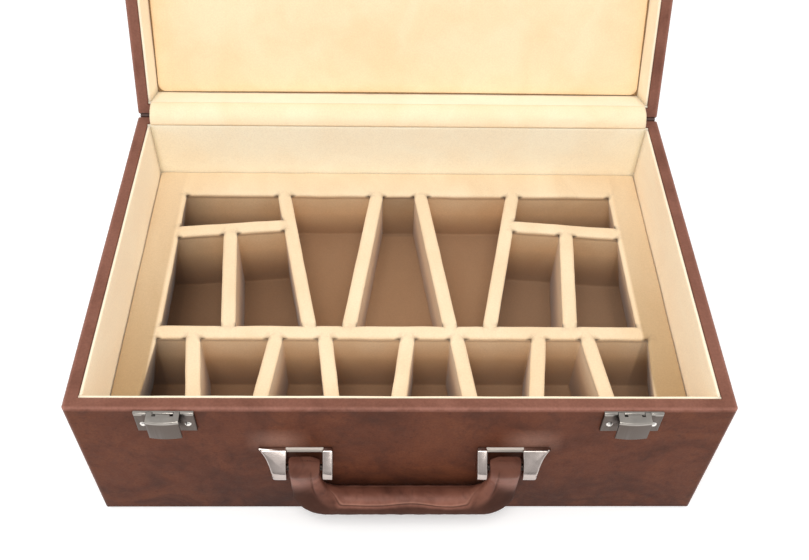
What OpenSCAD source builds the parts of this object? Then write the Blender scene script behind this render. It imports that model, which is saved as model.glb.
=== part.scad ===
// Hinged piece box for a full chess set: a board carcass covered in leatherette,
// lined in suede cloth, with a seventeen-slot tray, a continuous hinge, two rocking
// catches and a padded handle. The lid is drawn open, held by its cloth gusset.
// X runs left to right, Y front to back, Z up. The origin is the middle of the
// underside, on the table.

/* [Case] */
// Outside width of the case, left to right
case_w = 400; // [380:1:480]
// Outside depth of the case, front to back
case_d = 266; // [262:1:320]
// Height above the table of the plane where lid and base meet
base_h = 122; // [116:1:170]
// Height of the shut lid above that plane
lid_h = 34; // [32:1:60]
// Angle at which the gusset holds the lid, counted from shut
open_angle = 112; // [95:1:120]
// Gap between the two rims when the case is shut
rim_gap = 0.4; // [0.3:0.1:0.8]
// Radius of the four upright corners
corner_r = 3.5; // [3:0.5:8]
// Radius of the covering where it turns over a rim
edge_r = 2; // [1.5:0.25:2.5]
// Radius of the covering round the top of the lid
lid_edge_r = 3; // [1.5:0.25:3]

/* [Boards and coverings] */
// Thickness of the wall boards
board_t = 7; // [6:0.5:8]
// Thickness of the floor board
floor_board_t = 6; // [4:0.5:8]
// Thickness of the board in the top of the lid
lid_board_t = 5; // [4:0.5:7]
// Thickness of the leatherette covering
skin_t = 0.8; // [0.6:0.1:1]
// Depth to which the covering is turned in over the rims
turn_in = 14; // [8:1:20]
// Thickness of the sheet glued under the base
underside_t = 1; // [0.9:0.1:1.4]
// Thickness of the cloth-covered lining boards
lining_t = 2; // [1.5:0.25:3]

/* [Tray] */
// Depth of the tray's top surface below the rim
tray_drop = 48; // [44:1:54]
// Thickness of the pad that the tray stands on
floor_pad_t = 9; // [3:0.5:12]
// Extra floor height in the three centre slots
centre_pad_t = 13; // [4:0.5:20]
// Clearance of the tray inside the lining, each side
tray_fit = 0.4; // [0.2:0.1:1]
// Width of the border behind the slots
back_border = 25.2; // [18:0.2:28]
// Length of the king, queen and bishop slots in the middle
centre_slot_l = 129.4; // [124:0.2:132]
// Width of the border in front of the pawn slots
front_border = 16.6; // [12:0.2:22]
// Overall width of the slots in the middle rows
middle_field_w = 331; // [328:1:335]
// Overall width of the front row of slots
front_field_w = 338; // [334:1:342]
// Thickness of the rail between the two rows
rail_t = 10.8; // [8:0.2:12]
// Thickness of the partitions, measured across the case
wall_t = 10.2; // [8:0.2:11]
// Radius at which the cloth rolls into the slots
roll_r = 2.4; // [1:0.2:3]
// Middle of the outer long partition at its back end
outer_wall_back = 89.3; // [86:0.1:92]
// Middle of the outer long partition at its front end
outer_wall_front = 62.9; // [60:0.1:66]
// Middle of the inner long partition at its back end
inner_wall_back = 17.2; // [15:0.1:20]
// Middle of the inner long partition at its front end
inner_wall_front = 35.2; // [32:0.1:38]
// Middle of the side partition at its back end
side_wall_back = 127; // [122:0.1:130]
// Middle of the side partition at its front end
side_wall_front = 119; // [116:0.1:124]
// Length of the wide side slot along the edge of the tray
wide_slot_l = 34.2; // [30:0.2:38]
// Rise of the side rail from the edge of the tray to the long partition
side_rail_rise = 7.4; // [0:0.2:10]
// Middle of the first pawn partition, left of the centre
first_pawn_wall = 137.8; // [130:0.1:140]
// Step across a pawn slot that is wide at the back
wide_step = 48.4; // [44:0.1:49]
// Step across a pawn slot that is narrow at the back
narrow_step = 42.2; // [40:0.1:44]
// Slant of the pawn partitions, back end to front end
pawn_slant = 8.2; // [0:0.2:10]

/* [Hinge] */
// Radius of the hinge knuckles
knuckle_r = 1.6; // [1.4:0.1:2]
// Radius of the hinge pin
hinge_pin_r = 0.8; // [0.6:0.05:0.9]
// Radial clearance between pin and knuckles
hinge_fit = 0.05; // [0.02:0.01:0.1]
// Number of knuckles along the hinge
knuckles = 18; // [10:2:24]
// Gap between neighbouring knuckles
knuckle_gap = 0.4; // [0.3:0.1:0.6]
// Thickness of the hinge leaves
leaf_t = 0.7; // [0.5:0.1:0.7]
// Width of the hinge leaves
leaf_w = 6; // [5.4:0.2:6]
// Number of screws in each leaf
hinge_screws_n = 7; // [3:1:11]

/* [Lid panel and gusset] */
// Depth of the padded panel's crown below the rim of the lid
panel_depth = 24; // [20:0.5:26]
// Gap between the padded panel and the lining
panel_gap = 0.6; // [0.4:0.1:2]
// Corner radius of the padded panel
panel_r = 6; // [3:0.5:12]
// Thickness of the gusset cloth where it is glued down
gusset_t = 0.6; // [0.4:0.1:1]

/* [Catches] */
// Mean distance of the catches' middles from the ends of the case
catch_inset = 61.2; // [50:0.2:80]
// Offset of the pair of catches from the middle of the case, to the left
catch_shift = 1.3; // [-3:0.1:3]
// Width of the catch plate
plate_w = 35.5; // [33:0.5:42]
// Height of the catch plate
plate_h = 18.8; // [17.5:0.2:22]
// Depth of the pressed catch plate
plate_t = 2.2; // [1.8:0.1:2.4]
// Drop of the plate's top edge below the rim plane
plate_drop = 1.5; // [1:0.1:2.5]
// Width of the rocking lever
lever_w = 19.3; // [18.5:0.1:22]
// Height of the rocking lever
lever_h = 17.4; // [16:0.2:20]
// Reach of the lever out from the wall at its ends
lever_out = 8; // [7.8:0.1:8.8]
// Bow of the lever's face
lever_bow = 0.9; // [0.4:0.1:1.2]
// Thickness of the sheet metal
sheet_t = 1; // [0.8:0.1:1]
// Radius of the lever's pin
lever_pin_r = 1; // [0.8:0.05:1.1]
// Radial clearance of the lever on its pin
lever_fit = 0.06; // [0.03:0.01:0.1]
// Thickness of the strike's tongue
tongue_t = 0.8; // [0.6:0.1:0.9]
// Width of the strike's tongue
tongue_w = 12; // [11:0.2:13]
// Radius of the spring wire
spring_wire_r = 0.3; // [0.2:0.05:0.35]
// Turns in each catch spring
spring_turns = 6; // [3:1:7]

/* [Handle] */
// Offset of the handle from the middle of the case, to the right
handle_shift = 2.5; // [-4:0.5:4]
// Height of the handle pins above the table
handle_pin_z = 70; // [60:0.5:76]
// Distance of the handle pins from the wall
handle_pin_out = 8.5; // [8.2:0.1:10]
// Radius of the handle pins
handle_pin_r = 2; // [1.5:0.1:2.4]
// Radial clearance of the handle on its pins
handle_fit = 0.05; // [0.03:0.01:0.1]
// Radius of the rounded ends of the bracket cheeks
cheek_r = 6.5; // [5.5:0.1:7]
// Drop of the cheeks' round ends below the pins
cheek_drop = 3; // [1:0.5:4]
// Inner face of the inner cheek from the middle of the case
bracket_in = 45; // [40:0.5:50]
// Width of the inner cheek
inner_cheek_w = 6.1; // [5:0.1:7]
// Opening between the cheeks
loop_space = 22.4; // [20:0.2:26]
// Width of the outer cheek at its foot
outer_cheek_w = 9; // [8:0.2:13]
// Reach of the wing beyond the foot of the outer cheek
wing_reach = 8.5; // [4:0.1:10]
// Height of the wing
wing_h = 11; // [8:0.5:13]
// Radius of the wing's hollow edge
wing_r = 20; // [12:1:40]
// Height of the bracket above the leather loops
bracket_over = 2.5; // [1:0.5:4]
// Height of the bridge that joins a bracket's cheeks behind the loop
bridge_h = 4; // [2:0.1:5]
// Depth of the bridge out from the wall
bridge_d = 1.6; // [1.2:0.1:2]
// Gap between the leather loops and the wall
loop_gap = 1; // [0.5:0.1:2]
// Width of the leather loops
loop_w = 19; // [17:0.2:19.6]
// Radius of the grip
grip_r = 9.4; // [8:0.1:10]
// Distance from the pins to the middle of the grip
handle_drop = 40; // [38:0.5:45]
// Outer corner radius of the handle
handle_corner_r = 15; // [13:0.5:17]
// Gap between the hanging grip and the wall
grip_rest_gap = 0.5; // [0.3:0.1:1.5]

/* [Hidden] */

// Colours seen on the object
leather_brown = [0.44, 0.28, 0.22];
suede_cream = [0.93, 0.82, 0.66];
panel_peach = [0.96, 0.84, 0.68];
nickel = [0.62, 0.60, 0.57];
chrome_bright = [0.78, 0.77, 0.75];
board_tan = [0.66, 0.53, 0.38];
steel_grey = [0.45, 0.45, 0.46];
lacquer_brown = [0.30, 0.19, 0.15];

round_fn = 48;
eps = 0.01;

// Walls, from the outside in
board_w = case_w - 2 * skin_t;
board_d = case_d - 2 * skin_t;
wall_in_w = board_w - 2 * board_t;
wall_in_d = board_d - 2 * board_t;
mouth_w = wall_in_w - 2 * skin_t;
mouth_d = wall_in_d - 2 * skin_t;
lined_w = mouth_w - 2 * lining_t;
lined_d = mouth_d - 2 * lining_t;
wall_y = -case_d / 2;

// Heights
rim_z = base_h - rim_gap / 2;
lid_rim_z = base_h + rim_gap / 2;
lid_top_z = base_h + lid_h;
floor_top = underside_t + floor_board_t;
core_r = corner_r - skin_t;
lid_board_z = lid_top_z - skin_t - lid_board_t;

mouth_r = 1.2;

// Hinge
hinge_y = case_d / 2;
hinge_len = case_w - 4;
knuckle_pitch = hinge_len / knuckles;
relief_r = knuckle_r + 0.35;
leaf_top = rim_z - skin_t;
leaf_y0 = hinge_y - knuckle_r - leaf_w;
leaf_y1 = hinge_y - 0.6;
leaf_screw_y = leaf_y0 + leaf_w / 2;
leaf_screw_r = 0.9;
leaf_head_r = leaf_screw_r + leaf_t;

// Hair of air between the gusset and the lining that moves away from it
glue_gap = 0.02;

// Tray
tray_w = lined_w - 2 * tray_fit;
tray_d = lined_d - 2 * tray_fit;
tray_z0 = floor_top + floor_pad_t;
tray_top = base_h - tray_drop;
y_back = tray_d / 2 - back_border;
y_rail_b = y_back - centre_slot_l;
y_rail_f = y_rail_b - rail_t;
y_front = front_border - tray_d / 2;
end_slant = 0.6 * pawn_slant;

// Catch, in its own frame: x across, y out from the wall, z up
catch_x = case_w / 2 - catch_inset;
plate_z1 = base_h - plate_drop;
plate_z0 = plate_z1 - plate_h;
lever_z1 = plate_z1;
lever_z0 = lever_z1 - lever_h;
lever_back = plate_t + 0.3;
shelf_back = plate_t - 1.3;
lever_pin_u = 5.1;
lever_pin_z = lever_z1 - 9;
lug_r = 2.4;
lug_x = lever_w / 2 - 2.05;
ear_r = 2.2;
ear_x = lug_x - 2.2;
pin_half = lug_x + sheet_t + 0.3;
bow_r = (pow(lever_w / 2, 2) + pow(lever_bow, 2)) / (2 * lever_bow);
bow_u = lever_out + lever_bow - bow_r;
tongue_u = plate_t + 0.5;
window_w = tongue_w - 3.2;
window_z0 = lever_z1 - sheet_t - 0.9;
window_z1 = lever_z1 + 1.3;
nose_w = window_w - 0.6;
notch_x = tongue_w / 2 + 0.3;
notch_u = tongue_u + tongue_t + 0.4;
tongue_z0 = window_z0 - 3.2;
strike_w = 36;
strike_h = 16;
strike_t = 1.2;
strike_z0 = base_h + 2.5;
rivet_x = 13.3;
rivet_z = plate_z0 + 8;
rivet_head_r = 2;
rivet_head_h = 1.1;
rivet_shank_r = 1.2;
inner_head_r = 2.4;
inner_head_h = 0.8;

// Handle
slot_x0 = bracket_in + inner_cheek_w;
slot_x1 = slot_x0 + loop_space;
foot_x = slot_x1 + outer_cheek_w;
wing_x = foot_x + wing_reach;
loop_r = handle_pin_out - loop_gap;
bracket_z1 = handle_pin_z + loop_r + bracket_over;
bridge_z0 = bracket_z1 - bridge_h;
bracket_top_u = 3;
cheek_z = handle_pin_z - cheek_drop;
loop_x0 = (slot_x0 + slot_x1 - loop_w) / 2;
loop_x1 = loop_x0 + loop_w;
grip_u = grip_r + grip_rest_gap;
grip_z = handle_pin_z - handle_drop;
inner_fillet_r = 17;
strap_half_t = 2.5;
core_rod_r = 5;
core_half = 38;
screw_r = 1.4;
screw_head_r = 3;
screw_head_h = 1.8;
screw_depth = 6;
screw_z = cheek_z - 3;

// A plain block centred on X and Y between two heights
module block(w, d, z0, z1) {
    translate([-w / 2, -d / 2, z0]) cube([w, d, z1 - z0]);
}

// What a rounded corner leaves over; the corner itself is at the origin, up and right
module corner_rest(r) {
    difference() {
        translate([-r, -r]) square(r + 1);
        translate([-r, -r]) circle(r, $fn = round_fn);
    }
}

module trim(x, y, turn, r) {
    translate([x, y]) rotate(turn) corner_rest(r);
}

// Section through a case: a rectangle with round top and bottom corners
module section(w, z0, z1, rt, rb) {
    difference() {
        translate([-w / 2, z0]) square([w, z1 - z0]);
        trim(w / 2, z1, 0, rt);
        trim(-w / 2, z1, 90, rt);
        trim(-w / 2, z0, 180, rb);
        trim(w / 2, z0, 270, rb);
    }
}

// Extrudes a section drawn in (y, z) along X between two stations
module along_x(x0, x1) {
    translate([x0, 0, 0]) rotate([90, 0, 90]) linear_extrude(x1 - x0) children();
}

// Extrudes an outline drawn in (x, z) along Y between two stations
module along_y(y0, y1) {
    translate([0, y1, 0]) rotate([90, 0, 0]) linear_extrude(y1 - y0) children();
}

// A case block with round upright corners and rolled top and bottom edges: the common
// part of three straight extrusions, one along each axis
module soft_block(w, d, z0, z1, r, rt, rb) {
    intersection() {
        translate([0, 0, z0]) linear_extrude(z1 - z0) section(w, -d / 2, d / 2, r, r);
        along_x(-w / 2, w / 2) section(d, z0, z1, rt, rb);
        along_y(-d / 2, d / 2) section(w, z0, z1, rt, rb);
    }
}

// One side of an opening: everything inside the line p to q, flared at the top.
// The roll starts and ends a hair inside the cloth's faces, so it meets them at an angle.
roll_in = 0.04;

module flare(p, q, z0, z1, r) {
    translate([p[0], p[1], 0]) rotate([0, 0, atan2(q[1] - p[1], q[0] - p[0])])
        along_x(-500, 500) union() {
            translate([-500, z0]) square([500, z1 + 1 - z0]);
            difference() {
                translate([-eps, z1 - r]) square([r + eps, r + 1]);
                translate([r - roll_in, z1 - r + roll_in]) circle(r, $fn = round_fn);
            }
        }
}

// An opening with four straight sides whose rim is rolled to the radius r.
// The corners run back left, back right, front right, front left. The cloth is pulled
// over the front and back edges last, so they roll a little wider.
over_pull = 0.1;

module opening(c, z0, z1, r) {
    intersection() {
        flare(c[0], c[1], z0, z1, r + over_pull);
        flare(c[1], c[2], z0, z1, r);
        flare(c[2], c[3], z0, z1, r + over_pull);
        flare(c[3], c[0], z0, z1, r);
    }
}

function rect(w, d) = [[-w / 2, d / 2], [w / 2, d / 2], [w / 2, -d / 2], [-w / 2, -d / 2]];

// Case boards
module base_core() {
    soft_block(board_w, board_d, underside_t, leaf_top, core_r, edge_r - skin_t, edge_r - skin_t);
}

module lid_core() {
    soft_block(board_w, board_d, lid_rim_z + skin_t, lid_top_z - skin_t, core_r,
        lid_edge_r - skin_t, edge_r - skin_t);
}

module hinge_groove() {
    translate([0, hinge_y, base_h]) along_x(-case_w / 2 - 1, case_w / 2 + 1)
        circle(relief_r, $fn = round_fn);
}

// Room for a leaf in the board and under the covering
module leaf_pocket() {
    translate([-hinge_len / 2 - 0.2, leaf_y0 - 0.1, leaf_top - leaf_t])
        cube([hinge_len + 0.4, case_d / 2 - leaf_y0, leaf_t]);
}

function screw_at(i) = (i - (hinge_screws_n - 1) / 2) * knuckle_pitch * 2.5;

module leaf_screw() {
    translate([0, leaf_screw_y, leaf_top - leaf_t])
        cylinder(r1 = leaf_screw_r, r2 = leaf_head_r, h = leaf_t, $fn = 24);
    translate([0, leaf_screw_y, leaf_top - leaf_t - 4.5])
        cylinder(r = leaf_screw_r, h = 4.5 + eps, $fn = 24);
}

module leaf_screws() {
    for (i = [0 : hinge_screws_n - 1]) translate([screw_at(i), 0, 0]) leaf_screw();
}

// The lid's hinge parts are the base's, turned over about the hinge plane
module turned_over() {
    translate([0, 0, 2 * base_h]) mirror([0, 0, 1]) children();
}

// Puts a part drawn in the shut lid where the open lid holds it
module on_lid() {
    translate([0, hinge_y, base_h]) rotate([-open_angle, 0, 0])
        translate([0, -hinge_y, -base_h]) children();
}

// Frame of the front wall: x across, y out from the wall, z up
module at_wall() {
    translate([0, wall_y, 0]) rotate([0, 0, 180]) children();
}

module at_catch(side) {
    at_wall() translate([catch_shift - side * catch_x, 0, 0]) children();
}

module at_handle() {
    at_wall() translate([-handle_shift, 0, 0]) children();
}

// Everything that the catches and brackets need bored through the front of the base
module front_bores() {
    for (side = [-1, 1]) {
        at_catch(side) for (k = [-1, 1]) translate([k * rivet_x, 0, rivet_z]) rivet_bore();
        at_handle() for (x = bracket_screw_x()) translate([side * x, 0, screw_z]) {
            rotate([90, 0, 0]) cylinder(r = screw_r, h = skin_t + board_t + 1, $fn = 24);
            translate([0, -skin_t - board_t - 1, 0]) rotate([-90, 0, 0])
                cylinder(r = screw_head_r + 0.1, h = screw_head_h + 1, $fn = 32);
        }
    }
}

module rivet_bore() {
    rotate([90, 0, 0]) cylinder(r = rivet_shank_r, h = skin_t + board_t + 1, $fn = 24);
    translate([0, -skin_t - board_t - 1, 0]) rotate([-90, 0, 0])
        cylinder(r = inner_head_r + 0.1, h = inner_head_h + 1, $fn = 24);
}

// A rivet with a domed head on a face that stands off the wall by t
module rivet(t) {
    dome_r = (pow(rivet_head_r, 2) + pow(rivet_head_h, 2)) / (2 * rivet_head_h);
    intersection() {
        translate([0, t + rivet_head_h - dome_r, 0]) sphere(dome_r, $fn = 32);
        translate([0, t, 0]) rotate([-90, 0, 0]) cylinder(r = rivet_head_r, h = 3, $fn = 32);
    }
    translate([0, t + eps, 0]) rotate([90, 0, 0])
        cylinder(r = rivet_shank_r, h = t + eps + skin_t + board_t - inner_head_h + eps, $fn = 24);
    translate([0, -skin_t - board_t, 0]) rotate([-90, 0, 0])
        cylinder(r = inner_head_r, h = inner_head_h, $fn = 24);
}

function bracket_screw_x() = [bracket_in + inner_cheek_w / 2, slot_x1 + outer_cheek_w / 2];

module base_front_board() color(board_tan) difference() {
    intersection() {
        base_core();
        translate([-case_w / 2, -board_d / 2, 0]) cube([case_w, board_t, base_h]);
    }
    front_bores();
}

module base_back_board() color(board_tan) difference() {
    intersection() {
        base_core();
        translate([-case_w / 2, wall_in_d / 2, 0]) cube([case_w, board_t, base_h]);
    }
    hinge_groove();
    leaf_pocket();
    leaf_screws();
}

module base_side(side) {
    intersection() {
        base_core();
        translate([side * (board_w - board_t) / 2, 0, 0]) block(board_t, wall_in_d, 0, base_h);
    }
}

module base_left_board() color(board_tan) base_side(-1);

module base_right_board() color(board_tan) base_side(1);

module base_floor_board() color(board_tan) block(wall_in_w, wall_in_d, underside_t, floor_top);

module base_underside() color(leather_brown)
    block(wall_in_w - 0.2, wall_in_d - 0.2, 0, underside_t);

// Covering of the base: one sheet round the walls, turned in over the rim and under the hem
module base_wrap() color(leather_brown) difference() {
    soft_block(case_w, case_d, underside_t - skin_t, rim_z, corner_r, edge_r, edge_r);
    difference() {
        base_core();
        block(wall_in_w, wall_in_d, rim_z - turn_in, base_h);
    }
    opening(rect(mouth_w, mouth_d), rim_z - turn_in - 1, rim_z, mouth_r);
    block(wall_in_w, wall_in_d, -1, underside_t + 1);
    hinge_groove();
    leaf_pocket();
    front_bores();
}

// Lining boards: front and back run the full width, the sides stand between them
module lining_x(side, z0, z1) {
    translate([0, side * (mouth_d - lining_t) / 2, 0]) block(mouth_w, lining_t, z0, z1);
}

module lining_y(side, z0, z1) {
    translate([side * (mouth_w - lining_t) / 2, 0, 0]) block(lining_t, lined_d, z0, z1);
}

module base_front_lining() color(suede_cream) lining_x(-1, floor_top, rim_z - gusset_t);

module base_back_lining() color(suede_cream) lining_x(1, floor_top, rim_z - gusset_t);

module base_left_lining() color(suede_cream) lining_y(-1, floor_top, rim_z - gusset_t);

module base_right_lining() color(suede_cream) lining_y(1, floor_top, rim_z - gusset_t);

// Lines of the tray, each given by two points
function level(y) = [[-1, y], [1, y]];
function meet(a, b) = let (d1 = a[1] - a[0], d2 = b[1] - b[0])
    a[0] + cross(b[0] - a[0], d2) / cross(d1, d2) * d1;
function quad(back, right, front, left) =
    [meet(left, back), meet(right, back), meet(right, front), meet(left, front)];
function flipped(c) = [for (i = [1, 0, 3, 2]) [-c[i][0], c[i][1]]];
function wall_line(xb, yb, xf, k) = [[xb + k * wall_t / 2, yb], [xf + k * wall_t / 2, y_rail_b]];

edge_line = [[-middle_field_w / 2, 1], [-middle_field_w / 2, -1]];
rail_top = y_back - wide_slot_l;
side_rail_back = [[-middle_field_w / 2, rail_top], [-outer_wall_back, rail_top + side_rail_rise]];
side_rail_front = [for (p = side_rail_back) p - [0, rail_t]];
side_wall_y = rail_top - rail_t + side_rail_rise / 2;
function outer_line(k) = wall_line(-outer_wall_back, y_back, -outer_wall_front, k);
function inner_line(k) = wall_line(-inner_wall_back, y_back, -inner_wall_front, k);
function side_line(k) = wall_line(-side_wall_back, side_wall_y, -side_wall_front, k);

wide_slot = quad(level(y_back), outer_line(-1), side_rail_back, edge_line);
side_slot = quad(side_rail_front, side_line(-1), level(y_rail_b), edge_line);
middle_slot = quad(side_rail_front, outer_line(-1), level(y_rail_b), side_line(1));
slanted_slot = quad(level(y_back), inner_line(-1), level(y_rail_b), outer_line(1));
function flip_x(p) = [-p[0], p[1]];
centre_back = meet(inner_line(1), level(y_back));
centre_front = meet(inner_line(1), level(y_rail_b));
centre_slot = [centre_back, flip_x(centre_back), flip_x(centre_front), centre_front];

// Pawn partitions lean left and right in turn
function pawn_mid(i) = -first_pawn_wall + ceil(i / 2) * wide_step + floor(i / 2) * narrow_step;
function pawn_lean(i) = i % 2 == 0 ? pawn_slant / 2 : -pawn_slant / 2;
function pawn_line(i, k) = let (x = pawn_mid(i) + k * wall_t / 2)
    [[x - pawn_lean(i), y_rail_f], [x + pawn_lean(i), y_front]];
function end_line(side) = [[side * front_field_w / 2 + end_slant / 2, y_rail_f],
    [side * front_field_w / 2 - end_slant / 2, y_front]];
function pawn_slot(j) = quad(level(y_rail_f), j == 7 ? end_line(1) : pawn_line(j, -1),
    level(y_front), j == 0 ? end_line(-1) : pawn_line(j - 1, 1));

module slot(c) {
    opening(c, 0, tray_top, roll_r);
}

module slot_pair(c) {
    slot(c);
    slot(flipped(c));
}

// A piece of the tray with four straight sides
module tray_bar(c) {
    translate([0, 0, tray_z0]) linear_extrude(tray_top - tray_z0) polygon(c);
}

module tray_floor_pad() color(suede_cream) block(tray_w, tray_d, floor_top, tray_z0);

// Raised floors of the three centre slots
module centre_slot_pads() color(suede_cream) {
    for (c = [slanted_slot, centre_slot, flipped(slanted_slot)])
        translate([0, 0, tray_z0]) linear_extrude(centre_pad_t)
            polygon([c[0] + [0.2, -0.1], c[1] + [-0.2, -0.1], c[2] + [-0.2, 0.1], c[3] + [0.2, 0.1]]);
}

module tray_back_border() color(suede_cream) difference() {
    translate([0, (y_back + tray_d / 2) / 2, 0]) block(tray_w, tray_d / 2 - y_back, tray_z0, tray_top);
    slot_pair(wide_slot);
    slot_pair(slanted_slot);
    slot(centre_slot);
}

module tray_front_border() color(suede_cream) difference() {
    translate([0, (y_front - tray_d / 2) / 2, 0]) block(tray_w, y_front + tray_d / 2, tray_z0, tray_top);
    for (j = [0 : 7]) slot(pawn_slot(j));
}

// Border at the left; the cross rail divides it in two
module left_border_bars() {
    tray_bar([[-tray_w / 2, y_back], [-middle_field_w / 2, y_back],
        [-middle_field_w / 2, y_rail_b], [-tray_w / 2, y_rail_b]]);
}

module tray_left_border() color(suede_cream) difference() {
    union() {
        left_border_bars();
        tray_bar([[-tray_w / 2, y_rail_f], end_line(-1)[0], end_line(-1)[1], [-tray_w / 2, y_front]]);
    }
    slot(wide_slot);
    slot(side_slot);
    slot(pawn_slot(0));
}

module tray_right_border() color(suede_cream) difference() {
    union() {
        rotate([0, 0, 180]) translate([0, -y_back - y_rail_b, 0]) left_border_bars();
        tray_bar([end_line(1)[0], [tray_w / 2, y_rail_f], [tray_w / 2, y_front], end_line(1)[1]]);
    }
    slot(flipped(wide_slot));
    slot(flipped(side_slot));
    slot(pawn_slot(7));
}

module tray_cross_rail() color(suede_cream) difference() {
    translate([0, (y_rail_b + y_rail_f) / 2, 0]) block(tray_w, rail_t, tray_z0, tray_top);
    slot_pair(side_slot);
    slot_pair(middle_slot);
    slot_pair(slanted_slot);
    slot(centre_slot);
    for (j = [0 : 7]) slot(pawn_slot(j));
}

// A partition: its top is rolled along both long sides, its ends butt against the rails
module rolled_bar(c) {
    difference() {
        tray_bar(c);
        roll(c[2], c[1]);
        roll(c[0], c[3]);
    }
}

// Rolls the top edge that runs from p to q, with the slot on its right
module roll(p, q, more = 0) {
    r = roll_r + more;
    translate([p[0], p[1], 0]) rotate([0, 0, atan2(q[1] - p[1], q[0] - p[0])])
        along_x(-500, 500) difference() {
            translate([-1, tray_top - r + roll_in]) square([r + 1, r + 1]);
            translate([r - roll_in, tray_top - r + roll_in]) circle(r, $fn = round_fn);
        }
}

// Everything of the slot side of that edge
module slot_side(p, q, more = 0) {
    flare(p, q, 0, tray_top, roll_r + more);
}

module side_rail() {
    difference() {
        tray_bar(quad(side_rail_back, outer_line(-1), side_rail_front, edge_line));
        roll(wide_slot[2], wide_slot[3], over_pull);
        intersection() {
            roll(side_slot[0], side_slot[1], over_pull);
            slot_side(side_slot[1], side_slot[2]);
        }
        intersection() {
            roll(middle_slot[0], middle_slot[1], over_pull);
            slot_side(middle_slot[3], middle_slot[0]);
        }
    }
}

module tray_side_rails() color(suede_cream) {
    side_rail();
    mirror([1, 0, 0]) side_rail();
}

module outer_partition() {
    c = quad(level(y_back), outer_line(1), level(y_rail_b), outer_line(-1));
    difference() {
        tray_bar(c);
        roll(c[2], c[1]);
        intersection() {
            roll(c[0], c[3]);
            slot_side(wide_slot[2], wide_slot[3], over_pull);
        }
        intersection() {
            roll(c[0], c[3]);
            slot_side(middle_slot[0], middle_slot[1], over_pull);
        }
    }
}

// Four partitions from the back border to the cross rail
module tray_long_partitions() color(suede_cream) {
    inner = quad(level(y_back), inner_line(1), level(y_rail_b), inner_line(-1));
    outer_partition();
    mirror([1, 0, 0]) outer_partition();
    rolled_bar(inner);
    rolled_bar(flipped(inner));
}

module tray_side_partitions() color(suede_cream) {
    wall = quad(side_rail_front, side_line(1), level(y_rail_b), side_line(-1));
    rolled_bar(wall);
    rolled_bar(flipped(wall));
}

module tray_pawn_partitions() color(suede_cream) {
    for (i = [0 : 6])
        rolled_bar(quad(level(y_rail_f), pawn_line(i, 1), level(y_front), pawn_line(i, -1)));
}

// Hinge leaf with its own knuckles: first = 0 for the base, 1 for the lid
module leaf(first) {
    difference() {
        union() {
            translate([-hinge_len / 2, leaf_y0, leaf_top - leaf_t])
                cube([hinge_len, leaf_y1 - leaf_y0, leaf_t]);
            for (i = [first : 2 : knuckles - 1]) translate([0, hinge_y, base_h])
                along_x(knuckle_x(i) + knuckle_gap / 2, knuckle_x(i + 1) - knuckle_gap / 2)
                    circle(knuckle_r, $fn = 32);
        }
        for (i = [1 - first : 2 : knuckles - 1]) translate([0, hinge_y, base_h])
            along_x(knuckle_x(i) - knuckle_gap / 2, knuckle_x(i + 1) + knuckle_gap / 2)
                circle(relief_r, $fn = 32);
        translate([0, hinge_y, base_h]) along_x(-case_w, case_w)
            circle(hinge_pin_r + hinge_fit, $fn = 32);
        leaf_screws();
    }
}

function knuckle_x(i) = -hinge_len / 2 + i * knuckle_pitch;

module hinge_lower_leaf() color(lacquer_brown) leaf(0);

module hinge_upper_leaf() color(lacquer_brown) on_lid() turned_over() leaf(1);

module hinge_pin() color(steel_grey) translate([0, hinge_y, base_h])
    along_x(-hinge_len / 2, hinge_len / 2) circle(hinge_pin_r, $fn = 32);

module lower_hinge_screws() color(steel_grey) leaf_screws();

module upper_hinge_screws() color(steel_grey) on_lid() turned_over() leaf_screws();

// Point (y, z) of the shut lid where the open lid holds it
function lid_point(y, z) = let (dy = y - hinge_y, dz = z - base_h)
    [hinge_y + dy * cos(open_angle) + dz * sin(open_angle),
     base_h - dy * sin(open_angle) + dz * cos(open_angle)];

// Cloth strip glued on the two back linings; taut, it stops the lid
module lid_gusset() color(panel_peach) along_x(-lined_w / 2 + 0.2, lined_w / 2 - 0.2)
    polygon([[lined_d / 2, rim_z], [lined_d / 2, rim_z - gusset_t],
        [lined_d / 2 + 0.9, rim_z - gusset_t],
        lid_point(lined_d / 2 + 0.9, lid_rim_z + gusset_t - glue_gap),
        lid_point(lined_d / 2, lid_rim_z + gusset_t - glue_gap), lid_point(lined_d / 2, lid_rim_z)]);

// A pressed plate: its front edges are rolled, its back is hollow
module pressed(w, z0, z1, t, r) {
    intersection() {
        along_x(-w / 2, w / 2) difference() {
            translate([0, z0]) square([t, z1 - z0]);
            trim(t, z1, 0, r);
            trim(t, z0, 270, r);
        }
        translate([0, 0, z0]) linear_extrude(z1 - z0) difference() {
            translate([-w / 2, 0]) square([w, t]);
            trim(w / 2, t, 0, r);
            trim(-w / 2, t, 90, r);
        }
    }
}

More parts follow.
